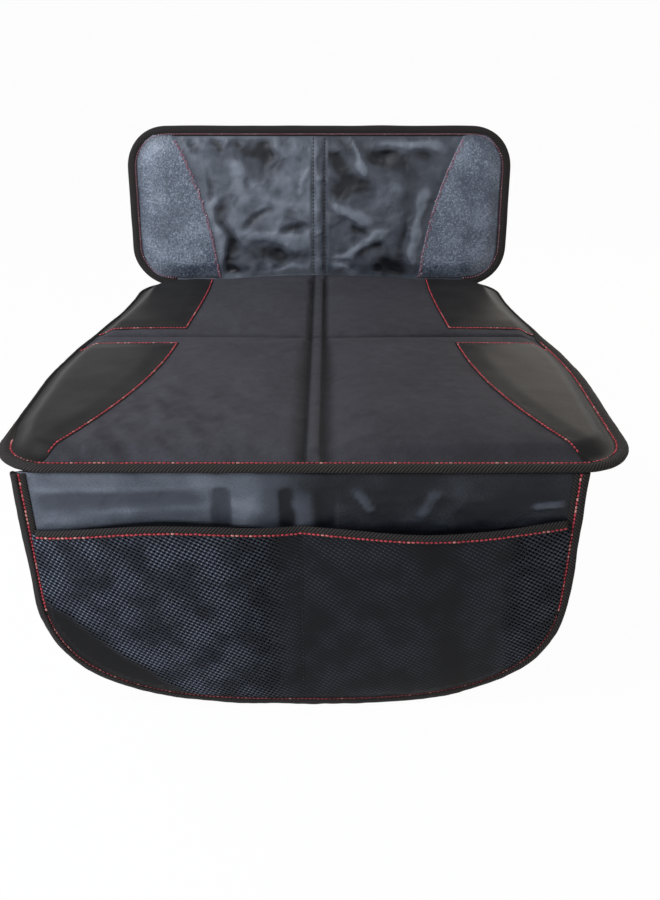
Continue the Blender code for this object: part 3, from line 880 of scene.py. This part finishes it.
def seatUnderside(flat):
    x, y = flat.T
    rise = seatRise(x, y)
    z = rimLift * (1.0 - smooth((seatPanel.depth(flat) - seat.rimWidth) / 0.002)) + rise
    return points(x, y + rise * math.tan(seat.recline), z)


def bowedSeam(start, end, bow, steps=24):
    # a seam between two points that bows to its left
    start, end = np.array(start), np.array(end)
    run = end - start
    side = np.array([-run[1], run[0]]) / np.linalg.norm(run)
    shares = np.linspace(0.0, 1.0, steps + 1)[:, None]
    return start + run * shares + side * bow * 4.0 * shares * (1.0 - shares)


# the facings end at these lines, on either side of the fold
frontFold = crossFold - seat.frontMargin
rearFold = crossFold + seat.rearMargin
frontSeam = bowedSeam((seat.seamEdge, seat.front), (seat.frontCorners, frontFold), seat.frontBow)
rearSeam = bowedSeam((seat.rearCorners, rearFold), (seat.rearEdge, seatRear), seat.rearBow)

seatSlack = Settings(
    steps=5, frames=16, mass=0.02, stretch=12.0, shear=8.0, bending=0.6,
    excess=0.012, pressure=0.8, rise=0.0022, sink=0.0012, sideways=0.0015,
)


def seatFree(flat):
    # 1 where the fabric is loose, 0 under the facings and along the seams
    x, y = np.abs(flat[:, 0]), flat[:, 1]
    deep = seatPanel.depth(flat)
    rearInner = np.where(y > rearFold, seamAt(rearSeam, y), 1.0)
    inner = np.where(y < frontFold, seamAt(frontSeam, y), rearInner)
    loose = smooth((inner - 0.003 - x) / 0.015)
    loose *= smooth((deep - 0.010) / 0.015)
    loose *= smooth((np.abs(x - seat.strip) - 0.002) / 0.008)
    loose *= smooth((np.abs(y - crossFold) - 0.002) / 0.008)
    loose[deep < 0.010] = 0.0
    return loose


def seatShade(flat):
    # painted shade: dark in the folds and troughs, darker towards the right and lighter towards the rear as
    # painted light fall-off, painted light and shade streaks strongest on the front left, and lightly clouded
    x, y = flat.T
    shade = 0.85 * troughShare(x, y) + 0.35 * sewnDip(y - crossFold, seat.crossReach)
    creased = points(x + y * 0.6, (y - x * 0.6) * 0.35)
    frontLeft = smooth((-0.01 - x) / 0.08) * smooth((-0.05 - y) / 0.08)
    shade += 0.12 * ripple(flat, 0.05, 12, 2) - (0.06 + 0.36 * frontLeft) * ripple(creased, 0.012, 13, 2)
    return shade + 0.08 + 0.36 * smooth((x + 0.03) / 0.16) - 0.10 * smooth((y - crossFold) / 0.05)


def seatRelief(places, free):
    # how far each point is lifted, and its painted shade
    x, y = places.T
    frontLeft = smooth((-0.02 - x) / 0.08) * smooth((-0.07 - y) / 0.06)
    gathers = ripple(places, 0.02, 3) * 0.5 + ripple(places, 0.007, 4, 2) * 0.25
    gathers *= 1.0 + seat.gathered * frontLeft
    return gathers * free * seat.wrinkle, seatShade(places)


seatPad = sewnPad(
    "seatPad", "seat_panel", seatPanel, cellLines(0.0, seat.frontHalfWidth, seat.cell, [seat.strip]),
    cellLines(seat.front, seatRear, seat.cell, [crossFold], 0.0016), seatTop, seatUnderside, seatFree,
    seatRelief, seatSlack, trim=seat.trim, fabric=woven, slot="woven_fabric",
)

# edgeShade and shadeReach paint a shadow beside the tape
seatPatch = Settings(
    columns=34, tuck=0.0097, thickness=0.0009, groove=0.0006, sewnAt=0.0018,
    grooveWidth=0.0009, rollReach=0.0012, swell=0.0016, swellReach=0.02, swellFade=0.016,
    underTape=0.009, pucker=0.00035, puckerSize=0.011, puckerReach=0.012, wrinkle=0.0005,
    wrinkleSize=0.045, seed=11, foldSide=1, foldAt=frontFold, edgeShade=0.9,
    shadeReach=0.010, frontRows=74, rearRows=48,
)
# rows close together beside a facing's seam
seamSteps = np.array([0.0, 0.0005, 0.0011, 0.0018, 0.0026])


def buildSeatPatches():
    frontRows = np.concatenate([
        np.linspace(seat.front + 0.0085, frontFold - 0.004, seatPatch.frontRows),
        frontFold - seamSteps[::-1],
    ])
    rearRows = np.concatenate([
        rearFold + seamSteps,
        np.linspace(rearFold + 0.004, seatRear - 0.009, seatPatch.rearRows),
    ])
    made = []
    for side, word in ((-1, "Left"), (1, "Right")):
        front = varied(seatPatch, seed=seatPatch.seed + side)
        rear = varied(front, seed=front.seed + 6, foldSide=-1, foldAt=rearFold)
        kinds = ("Front", frontSeam, frontRows, front), ("Rear", rearSeam, rearRows, rear)
        for where, seam, rows, patch in kinds:
            made.append(facingPatch(
                f"seat{where}Patch{word}", f"seat_{where.lower()}_patch_{word.lower()}", seatPanel, seatTop,
                seam, rows, side, smoothLeather, patch, "smooth_leatherette", tapeKept,
            ))
    return made


seatPatches = buildSeatPatches()

seatTape = Settings(
    cell=0.0026, thickness=0.0008, waviness=0.0005, wave=0.035, pucker=0.007, seed=2.0,
    cover=0.0102, bulge=0.0008, groove=0.0022, waistNotch=0.0030,
)


def buildSeatTape():
    side = [(x, y) for x, y in seatPanel.rightSide if y < seatRear - seatTape.waistNotch]
    path = mirrored(side) + side
    profile = foldedProfile(rimLift, rimTop, seatTape)
    tapeStrip("seatTape", "seat_binding", path, profile, seatPanel.placement, seatTape, keep=tapeKept)
    return np.array(path)


seatEdge = buildSeatTape()

seatStitch = Settings(
    pitch=0.0034, fill=1.0, width=0.0017, height=0.0013, wander=0.00012, bright=0.0,
    seed=5,
)
foldStitch = varied(seatStitch, pitch=0.0036, fill=0.8, width=0.0010, height=0.0008, seed=6)
barTack = Settings(pitch=0.0010, width=0.0013, reach=0.0027, bright=0.45, start=0.023, end=0.0115)


def overSurface(surface, path, lift, side=1):
    # a flat line laid on a surface
    path = np.array([(side * x, y) for x, y in path])
    laid = surface(path)
    laid[:, 2] += lift
    return laid


def insetLine(path, distance, height):
    line = evenly(path, 0.004)
    moved = line - outwards(line) * distance
    return np.column_stack([moved, np.full(len(moved), height)])


def stripSeams(surface, distance, low, high, lift):
    # the two seams beside a panel's middle strip
    line = evenly([(distance, low), (distance, high)], 0.004)
    return [overSurface(surface, line, lift, side) for side in (-1, 1)]


def buildSeatStitches():
    sewnEdge = seatEdge[tapeKept(seatEdge) > 0.85]
    lines = [insetLine(sewnEdge, seatTape.cover - seatTape.groove, rimTop + 0.0008)]
    sewn = seatPatch.sewnAt
    lift = edgeGap + seatPatch.thickness - seatPatch.groove + 0.0003
    for side in (-1, 1):
        for seam, toFold in ((frontSeam, -1), (rearSeam, 1)):
            foldY = frontFold - sewn if toFold < 0 else rearFold + sewn
            low, high = (seat.front + barTack.end, foldY) if toFold < 0 else (foldY, seatRear - 0.004)
            along = [(x + sewn, y) for x, y in seam if low < y < high]
            corner = (float(seamAt(seam, foldY)) + sewn, foldY)
            edge = float(seatPanel.halfWidth(foldY))
            outer = (edge - seatTape.cover * float(tapeKept(np.array([[side * edge, foldY]]))[0]), foldY)
            along = along + [corner] if toFold < 0 else [corner] + along
            for line in (along, [corner, outer]):
                lines.append(overSurface(seatTop, evenly(line, 0.004), lift, side))
    tacked = [(x + sewn, y) for x, y in frontSeam
              if barTack.end < y - seat.front < barTack.start]
    tacks = [overSurface(seatTop, evenly(tacked, 0.002), lift + 0.0007, -1)]
    stitchPiece("seatStitches", lines, seatPanel.placement, redThread, seatStitch, tacks, barTack)
    strip = stripSeams(seatTop, seat.strip, seat.front + 0.012, seatRear - 0.006, 0.0002)
    stitchPiece("seatFoldStitches", strip, seatPanel.placement, blackThread, foldStitch)


buildSeatStitches()
print("seat panel ready")


# back panel

# leftShade and rightShade paint the right half of the back darker as painted light fall-off, and shadeHeight
# turns fold height into painted light and shade
back = Settings(
    cell=0.0025, halfWidth=backBox[1].x, corner=0.045, recline=math.radians(10.0),
    padThickness=0.0078, crown=0.0022, shoulder=0.016, rimWidth=0.0095,
    strip=0.0066, foldReach=0.0042, foldDepth=0.0024, wrinkle=0.0034, facet=0.052,
    foldShare=0.45, shadeHeight=0.0068, leftShade=0.20, rightShade=0.47, fineFacet=0.017,
    stray=0.007, fade=0.38, crispness=2.0, trim=0.003,
    seamFoot=0.117, seamTop=0.170, seamBow=0.0105,
)
back.height = (backBox[1].z - rimTop * math.sin(back.recline)) / math.cos(back.recline)
backOrigin = Vector((0.0, seatRear + edgeGap + rimTop / math.cos(back.recline), 0.0))
backPlacement = Matrix.Translation(backOrigin) @ Matrix.Rotation(math.radians(90.0) - back.recline, 4, "X")


def backSide():
    across, corner = back.halfWidth - back.corner, back.corner
    return arc(across, corner, corner, -90, 0) + arc(across, back.height - corner, corner, 0, 90)


backPanel = Panel(backSide(), backPlacement)


def backTop(flat):
    x, y = flat.T
    inside = smooth((backPanel.depth(flat) - back.rimWidth) / back.shoulder)
    half = back.height / 2
    crown = back.crown * (1.0 - (x / back.halfWidth) ** 2) * (1.0 - ((y - half) / half) ** 2)
    dip = back.foldDepth * sewnDip(np.abs(x) - back.strip, back.foldReach)
    z = blend(rimTop, back.padThickness, inside) + inside * (crown - dip)
    return points(x, y, z)


def backUnderside(flat):
    z = rimLift * (1.0 - smooth((backPanel.depth(flat) - back.rimWidth) / 0.002))
    return points(*flat.T, z)


backSeam = bowedSeam((back.seamFoot, 0.0), (back.seamTop, back.height), back.seamBow)

backSlack = Settings(
    steps=6, frames=24, mass=0.01, stretch=12.0, shear=6.0, bending=0.8,
    excess=0.022, pressure=0.3, rise=0.0040, sink=0.0025, sideways=0.003,
)
# where the slack nylon folds, in millimetres: both ends of each line, its width and its height
backFolds = np.array([
    (-130, 115, -115, 12, 6, 3), (-116, 102, -104.5, 40, 5.8, -5), (-104.5, 55, -108, 8, 5.5, -4.5),
    (-128.5, 128, -127.5, 90, 2.6, -3.5), (-150, 170, -130, 145, 4.5, -4),
    (-127, 172, -112, 147, 4.5, -4.5), (-110, 157, -50, 150, 9.5, -4.2), (-62, 168, -52, 138, 6, -3),
    (-100, 140, -85, 95, 6, 1.6), (-52, 132, -30, 100, 11, 2.2), (-83, 125, -86, 102, 4.5, -1.8),
    (-24.5, 104, -15, 131, 2.2, 4.6), (-96.5, 67, -54, 86, 4.2, -4), (-50, 60, -8, 68, 5.5, -4.5),
    (-96, 58, -10, 52, 4.5, 3.5), (-94, 42, -10, 28, 9.5, -5), (-85, 14.5, -12, 18, 2.7, 3.5),
    (-113, 8, -94, 18, 4, -6), (30, 168, 53, 118, 3.6, 5), (13, 152, 30, 126, 7, -3.5),
    (16, 108, 70, 112, 13, -4.5), (45, 150, 110, 130, 8.5, -2.8), (12, 91, 66, 70, 5, 4.5),
    (34, 68, 60, 60, 4.8, -4), (16, 29, 50, 46, 4.5, 4.2), (46, 44, 84, 66, 5, 4.2),
    (40, 34, 78, 50, 4.5, -4.2), (121, 124, 112, 10, 6, 4.2), (100, 120, 98, 20, 6, -2.5),
    (60, 28, 108, 4, 6.5, -6), (14, 24, 56, 10, 3, 4), (52, 160, 150, 160, 6, 3),
    (60, 146, 140, 146, 6, -2.4),
]) / 1000


def backFree(flat):
    x, y = np.abs(flat[:, 0]), flat[:, 1]
    loose = smooth((seamAt(backSeam, y) - 0.002 - x) / 0.008)
    deep = backPanel.depth(flat)
    loose *= smooth((deep - 0.010) / 0.008)
    loose *= smooth((np.abs(x - back.strip) - 0.001) / 0.005)
    loose[deep < 0.010] = 0.0
    return loose


def backRelief(places, free):
    # how far each point is lifted, and its painted shade: dark in the valleys, light on the ridges and
    # facets, and darker on the right half
    x, y = places.T
    slant = points(x + y * 0.5, y - x * 0.2)
    facets = 0.36 - np.abs(ripple(slant, back.facet, 6, 2))
    facets -= 0.30 * np.abs(ripple(slant, back.fineFacet, 8, 2))
    puckered = smooth((y - back.height + 0.03) / 0.02)
    facets -= 0.25 * np.abs(ripple(places * np.array([1.0, 0.2]), 0.012, 9, 1)) * puckered
    folds = foldLift(places, backFolds, back)
    middle = blend(back.leftShade, back.rightShade, smooth(x / 0.02 + 0.5))
    shade = middle - (folds + back.wrinkle * facets) * free / back.shadeHeight
    return (folds * back.foldShare + back.wrinkle * facets) * free, shade


backPad = sewnPad(
    "backPad", "back_panel", backPanel, cellLines(0.0, back.halfWidth, back.cell, [back.strip]),
    cellLines(0.0, back.height, back.cell), backTop, backUnderside, backFree, backRelief, backSlack,
    trim=back.trim, fabric=backNylon, slot="crinkled_nylon",
)

backPatch = varied(
    seatPatch, columns=30, swell=0.0010, pucker=0.0004, wrinkle=0.0009, seed=31, foldAt=None, edgeShade=0.5,
)
backTape = varied(seatTape, seed=7.0, endReach=0.004)


def buildBackTrim():
    rows = np.linspace(0.0088, back.height - 0.0088, 64)
    for side, word in ((-1, "Left"), (1, "Right")):
        patch = varied(backPatch, seed=backPatch.seed + side)
        facingPatch(
            f"backPatch{word}", f"back_side_patch_{word.lower()}", backPanel, backTop, backSeam, rows, side,
            pebbledLeather, patch, "pebbled_leatherette",
        )
    foot = (backPanel.rightSide[0][0] - backTape.endReach, 0.0)
    side = [foot] + backPanel.rightSide
    path = side + mirrored(side)
    profile = foldedProfile(rimLift, rimTop, backTape)
    tapeStrip("backTape", "back_binding", path, profile, backPlacement, backTape)
    edge = insetLine(path, backTape.cover - backTape.groove, rimTop + 0.0011)
    fine = varied(seatStitch, seed=9, pitch=0.0030, fill=0.6, width=0.0017, height=0.0016, bright=0.4)
    stitchPiece("backTapeStitches", [edge], backPlacement, pinkThread, fine)
    sewn = backPatch.sewnAt
    lift = edgeGap + backPatch.thickness - backPatch.groove + 0.0008
    seam = [(x + sewn, y) for x, y in backSeam if 0.003 < y < back.height - 0.010]
    seams = [overSurface(backTop, evenly(seam, 0.004), lift, side) for side in (-1, 1)]
    dotted = varied(seatStitch, seed=10, pitch=0.0023, fill=0.75, width=0.0028, wander=0.0009, bright=0.1)
    stitchPiece("backSeamStitches", seams, backPlacement, pinkThread, dotted)
    strip = stripSeams(backTop, back.strip, 0.004, back.height - 0.011, 0.0004)
    wide = varied(foldStitch, width=0.0012, pitch=0.0042)
    stitchPiece("backFoldStitches", strip, backPlacement, blackThread, wide)


buildBackTrim()
print("back panel ready")


# front flap and its pockets

# leftShade and rightShade paint the flap's right half darker as painted light fall-off, and shadeHeight turns
# the band's fold height into painted light and shade
flap = Settings(
    cell=0.0030, height=flapBox[1].z - flapBox[0].z, halfWidth=(flapBox[1].x - flapBox[0].x) / 2,
    squareHeight=0.100, roundness=2.8, wrinkle=0.0006, bandDepth=0.054, shadeHeight=0.0044,
    leftShade=0.28, rightShade=0.88, stray=0.0016, fade=0.2, crispness=4.0, sink=0.0016,
    trim=0.0024,
)
# where the band above the pockets folds, in millimetres
bandFolds = np.array([
    (-206, -9, -66, -3.8, 7.5, 2.2), (-200, -26, -70, -20, 7.5, -1), (-60, 2, -60, -60, 6, -3.4),
    (-40, 2, -40, -60, 11, 0.4), (-11, 2, -10, -60, 4.5, -3), (1.5, 2, 4, -60, 6, 1.2),
    (18, 2, 19, -60, 5.5, -3), (36, -2, 54, -34, 3.5, 1.6), (50, -6, 190, -8, 5.5, 1.6),
    (104, -8, 90, -38, 4.5, 1.2), (175, -30, 198, -26, 3, 2.2),
]) / 1000
flapCentre = Vector(((flapBox[0].x + flapBox[1].x) / 2, flapBox[1].y, flapBox[1].z))
flapPlacement = Matrix.Translation(flapCentre) @ Matrix.Rotation(math.radians(90.0), 4, "X")
pocket = Settings(
    cell=0.0030, thickness=0.0010, mouthDepth=0.0455, mouthTilt=0.0045, leftArch=0.008,
    rightArch=-0.0042, fullness=0.0100, roundness=0.85, hemCover=0.0062, rimWidth=0.010,
    waviness=0.0011, trim=0.0072, redReach=0.13,
    # pulled: the line below which the mesh is painted dark as painted shade
    pulled=((-0.2075, -0.102), (-0.106, -0.198)),
)


def flapSide(steps=44):
    drop = flap.height - flap.squareHeight
    side = []
    for turn in np.radians(np.linspace(0.0, 90.0, steps + 1))[1:]:
        x = flap.halfWidth * math.sin(turn) ** (2.0 / flap.roundness)
        y = -flap.squareHeight - drop * math.cos(turn) ** (2.0 / flap.roundness)
        side.append((x, y))
    return side + [(flap.halfWidth, -flap.squareHeight / 2), (flap.halfWidth, 0.0)]


flapPanel = Panel(flapSide(), flapPlacement)


def flapTop(flat):
    x, y = flat.T
    inside = smooth((flapPanel.depth(flat) - 0.010) / 0.012)
    inside *= smooth(-y / 0.006)
    band = smooth((flap.bandDepth + y) / 0.010)
    rolls = ripple(flat * np.array([0.35, 1.0]), 0.016, 21, 2)
    lift = inside * band * (flap.wrinkle * rolls + foldLift(flat, bandFolds, flap))
    return points(x, y, flapCloth + np.maximum(lift, -flap.sink))


def flapShade(flat):
    # painted shade: dark in the band's folds and behind the pockets, light on the band's ridges, and the
    # right half darker as painted light fall-off
    lift = flapTop(flat)[:, 2] - flapCloth
    middle = blend(flap.leftShade, flap.rightShade, smooth((flat[:, 0] + 0.05) / 0.07))
    behind = smooth((mouthHeight(flat[:, 0]) - flat[:, 1]) / 0.004)
    return np.maximum(middle - lift / flap.shadeHeight, behind)


def flapBottom(flat):
    return points(*flat.T, np.zeros(len(flat)))


def mouthHeight(x):
    across = x / flap.halfWidth
    arch = np.where(x < 0.0, pocket.leftArch, pocket.rightArch)
    return -pocket.mouthDepth + pocket.mouthTilt * across + arch * np.sin(math.pi * np.abs(across)) ** 2


def pocketStandoff(x, y):
    below = np.clip((-y - flap.squareHeight) / (flap.height - flap.squareHeight), 0.0, 1.0)
    halfWidth = flap.halfWidth * (1.0 - below ** flap.roundness) ** (1.0 / flap.roundness)
    across = np.minimum(np.abs(x) / np.maximum(halfWidth - pocket.rimWidth, edgeGap), 1.0)
    bulge = np.maximum(np.sin(math.pi * across), 0.0) ** pocket.roundness
    foot = -flap.height + pocket.rimWidth
    full = mouthHeight(x) - pocket.hemCover - 0.0010
    rise = np.clip((y - foot) / (full - foot), 0.0, 1.0)
    return flapCloth + edgeGap + (0.0010 + edgeGap) * rise + pocket.fullness * bulge * np.sqrt(rise)


def pocketTop(flat):
    x, y = flat.T
    standoff = pocketStandoff(x, y)
    loose = smooth((flapPanel.depth(flat) - 0.010) / 0.030) * smooth((np.abs(x) - 0.004) / 0.03)
    loose *= smooth((mouthHeight(x) - y - 0.004) / 0.02)
    drape = ripple(flat * np.array([1.0, 0.5]), 0.045, 41, 2)
    return points(x, y, standoff + pocket.thickness + pocket.waviness * drape * loose)


def pocketShade(flat):
    # painted shade: smooth and dark where the mesh is pulled flat across the lower left corner, deepening
    # towards the right as painted light fall-off and in soft hanging folds
    x, y = flat.T
    (startX, startY), (endX, endY) = pocket.pulled
    line = startY + (x - startX) * (endY - startY) / (endX - startX)
    line = line + 0.004 * ripple(flat, 0.02, 46, 2)
    pulled = smooth((line - y) / 0.014) * smooth((endX + 0.03 - x) / 0.03)
    dusk = 0.78 * smooth((x + 0.075) / 0.07) * (1.0 - 0.35 * smooth((x - 0.15) / 0.03))
    hang = 0.35 * np.maximum(ripple(flat * np.array([1.0, 0.3]), 0.05, 44, 2), 0.0)
    return np.maximum(pulled, dusk + hang)


def pocketBack(flat):
    return pocketTop(flat) - np.array([0.0, 0.0, pocket.thickness])


def buildFlap():
    columns = mirroredLines(cellLines(0.0, flap.halfWidth, flap.cell))
    rows = np.concatenate([
        np.arange(-flap.height, -flap.bandDepth, flap.cell),
        np.linspace(-flap.bandDepth, 0.0, 40),
    ])
    bm, flat = gridOf(columns, rows)
    trimToOutline(bm, flat, flapPanel, flap.trim)
    # the top edge has no tape, so it goes back up to the seat panel
    for vert in bm.verts:
        if vert[flat].y > -flap.trim - 0.0002:
            vert[flat] = (vert[flat].x, vert[flat].y + flap.trim, 0.0)
    raiseTo(bm, flat, flapTop)
    setShade(bm, flapShade(flatPlaces(bm, flat)))
    closeBelow(bm, flat, flapBottom)
    return finishPiece(
        "flapCloth", bm, flapPlacement, [flapNylon, flapNylon], flat, "crinkled_nylon", "front_flap"
    )


def buildPocket():
    columns = mirroredLines(cellLines(0.0, flap.halfWidth, pocket.cell, [0.0], 0.0015, 0.009))
    rows = np.arange(-flap.height, -pocket.mouthDepth + 0.014, pocket.cell)
    bm, flat = gridOf(columns, rows)
    trimToOutline(bm, flat, flapPanel, pocket.trim)
    mouth = pocket.hemCover * 0.5
    above = [vert for vert in bm.verts if vert[flat].y > mouthHeight(vert[flat].x) - mouth]
    bmesh.ops.delete(bm, geom=above, context="VERTS")
    for vert in bm.verts:
        x, y = vert[flat].x, vert[flat].y
        level = float(mouthHeight(np.float64(x))) - mouth
        if vert.is_boundary and level - y < pocket.cell * 1.5:
            vert[flat] = (x, level, 0.0)
    raiseTo(bm, flat, pocketTop)
    setShade(bm, pocketShade(flatPlaces(bm, flat)))
    closeBelow(bm, flat, pocketBack)
    return finishPiece(
        "pocketMesh", bm, flapPlacement, [openMesh, openMesh], flat, "open_mesh", "pocket_mesh"
    )


flapSheet = buildFlap()
pocketSheet = buildPocket()

flapTape = varied(seatTape, seed=13.0, waviness=0.0009, cover=0.0108, bulge=0.0006, groove=0.0052)
hemTape = varied(seatTape, seed=19.0, waviness=0.0004, cover=0.0066, bulge=0.0003, groove=0.0018, cell=0.003)


def buildFlapTrim():
    side = flapPanel.rightSide
    path = mirrored(side) + side
    profile = foldedProfile(0.0, flapCloth, flapTape)
    tapeStrip("flapTape", "flap_binding", path, profile, flapPlacement, flapTape)
    hemReach = flap.halfWidth - 0.0105
    xs = np.linspace(hemReach, -hemReach, 150)
    mouthLine = list(zip(xs, mouthHeight(xs)))
    base = pocketStandoff(xs, mouthHeight(xs))
    profile = foldedProfile(0.0, pocket.thickness, hemTape)
    hem = tapeStrip("pocketHem", "pocket_hem", mouthLine, profile, flapPlacement, hemTape, base)
    edge = insetLine(path, flapTape.cover - flapTape.groove, flapCloth + 0.0009)
    drop = hemTape.cover - hemTape.groove
    hemLine = np.column_stack([xs, mouthHeight(xs) - drop, base + pocket.thickness + 0.0009])
    thick = varied(seatStitch, seed=15, width=0.0021, height=0.0014, bright=0.15)
    # below redReach the stitches take a darker copy of the red thread as painted shade
    high = edge[:, 1] > -pocket.redReach
    sides = [edge[high & (edge[:, 0] < 0.0)], edge[high & (edge[:, 0] > 0.0)]]
    stitchPiece("flapStitches", sides, flapPlacement, redThread, thick)
    thin = varied(thick, seed=17, width=0.0015, height=0.0011)
    stitchPiece("flapFootStitches", [edge[~high]], flapPlacement, shadedThread, thin)
    medium = varied(thick, seed=16, width=0.0019)
    hemStitches = stitchPiece("hemStitches", [hemLine], flapPlacement, redThread, medium)
    middle = [(0.0, mouthHeight(0.0) - drop - 0.003), (0.0, -flap.height + 0.012)]
    centre = overSurface(pocketTop, evenly(middle, 0.004), 0.0003)
    centreStitches = stitchPiece("pocketSeamStitches", [centre], flapPlacement, blackThread, foldStitch)
    return [hem, hemStitches, centreStitches]


sewnToPocket = buildFlapTrim()
print("front flap ready")


# floor, light and camera

studio = Settings(floorDrop=0.0015, floorHalf=200.0, floorGlow=0.97, ambient=0.27)
# each lamp's name, place, size, colour and power
lamps = [
    ("window", (-0.70, -0.50, 0.95), (0.8, 0.6), (0.86, 0.92, 1.0), 12.0),
    ("lowWindow", (-0.52, -0.58, 0.00), (0.40, 0.25), (0.84, 0.90, 1.0), 1.3),
    ("roomLight", (0.80, 1.00, 0.60), (1.0, 0.5), (1.0, 0.88, 0.74), 4.0),
]


def whiteWhereSeen(nodes):
    # 1 for the camera, mirrors and glass, and 0 for what lights the object
    rays = ("Is Camera Ray", "Is Glossy Ray", "Is Transmission Ray")
    camera, glossy, through = [nodes.node("LightPath", output=ray) for ray in rays]
    return camera.highest(glossy).highest(through)


def buildFloor():
    bm = bmesh.new()
    bmesh.ops.create_grid(bm, x_segments=1, y_segments=1, size=studio.floorHalf)
    bmesh.ops.translate(bm, verts=bm.verts[:], vec=(0.0, 0.0, cadBox[0].z - studio.floorDrop))
    mesh = bpy.data.meshes.new("floor")
    bm.to_mesh(mesh)
    bm.free()
    floor = bpy.data.objects.new("floor", mesh)
    scene.collection.objects.link(floor)
    finish = Finish("paleFloor")
    finish.surface(baseColor=(0.9, 0.9, 0.9, 1.0), roughness=0.9, specular=0.1)
    glow = finish.node("Emission", {}, {"Color": (1.0, 1.0, 1.0, 1.0), "Strength": 1.0})
    share = whiteWhereSeen(finish) * studio.floorGlow
    body = Signal(finish, finish.shader.outputs[0])
    mixed = finish.node("MixShader", {}, {0: share, 1: body, 2: glow})
    finish.feed(finish.tree.nodes["Material Output"].inputs["Surface"], mixed)
    mesh.materials.append(finish.material)


def areaLight(name, place, size, color, power):
    lamp = bpy.data.lights.new(name, "AREA")
    lamp.shape = "RECTANGLE"
    lamp.size, lamp.size_y = size
    lamp.color = color
    lamp.energy = power
    light = bpy.data.objects.new(name, lamp)
    light.location = place
    light.rotation_euler = (-Vector(place)).to_track_quat("-Z", "Y").to_euler()
    scene.collection.objects.link(light)


def buildStudio():
    world = bpy.data.worlds.new("studio")
    scene.world = world
    world.use_nodes = True
    nodes = Nodes(world.node_tree)
    background = world.node_tree.nodes["Background"]
    seen = whiteWhereSeen(nodes)
    nodes.feed(background.inputs["Color"], (1.0, 1.0, 1.0, 1.0))
    nodes.feed(background.inputs["Strength"], seen * (1.0 - studio.ambient) + studio.ambient)
    for lamp in lamps:
        areaLight(*lamp)


view = Settings(place=(0.0125, -0.766, 0.309), tilt=61.74, lens=34.0)


def buildCamera():
    lens = bpy.data.cameras.new("camera")
    lens.lens = view.lens
    lens.sensor_width = 36.0
    lens.clip_start, lens.clip_end = 0.02, 500.0
    camera = bpy.data.objects.new("camera", lens)
    camera.location = view.place
    camera.rotation_euler = (math.radians(view.tilt), 0.0, 0.0)
    scene.collection.objects.link(camera)
    scene.camera = camera


buildFloor()
buildStudio()
buildCamera()
scene.view_settings.view_transform = "Standard"

print("scene ready")
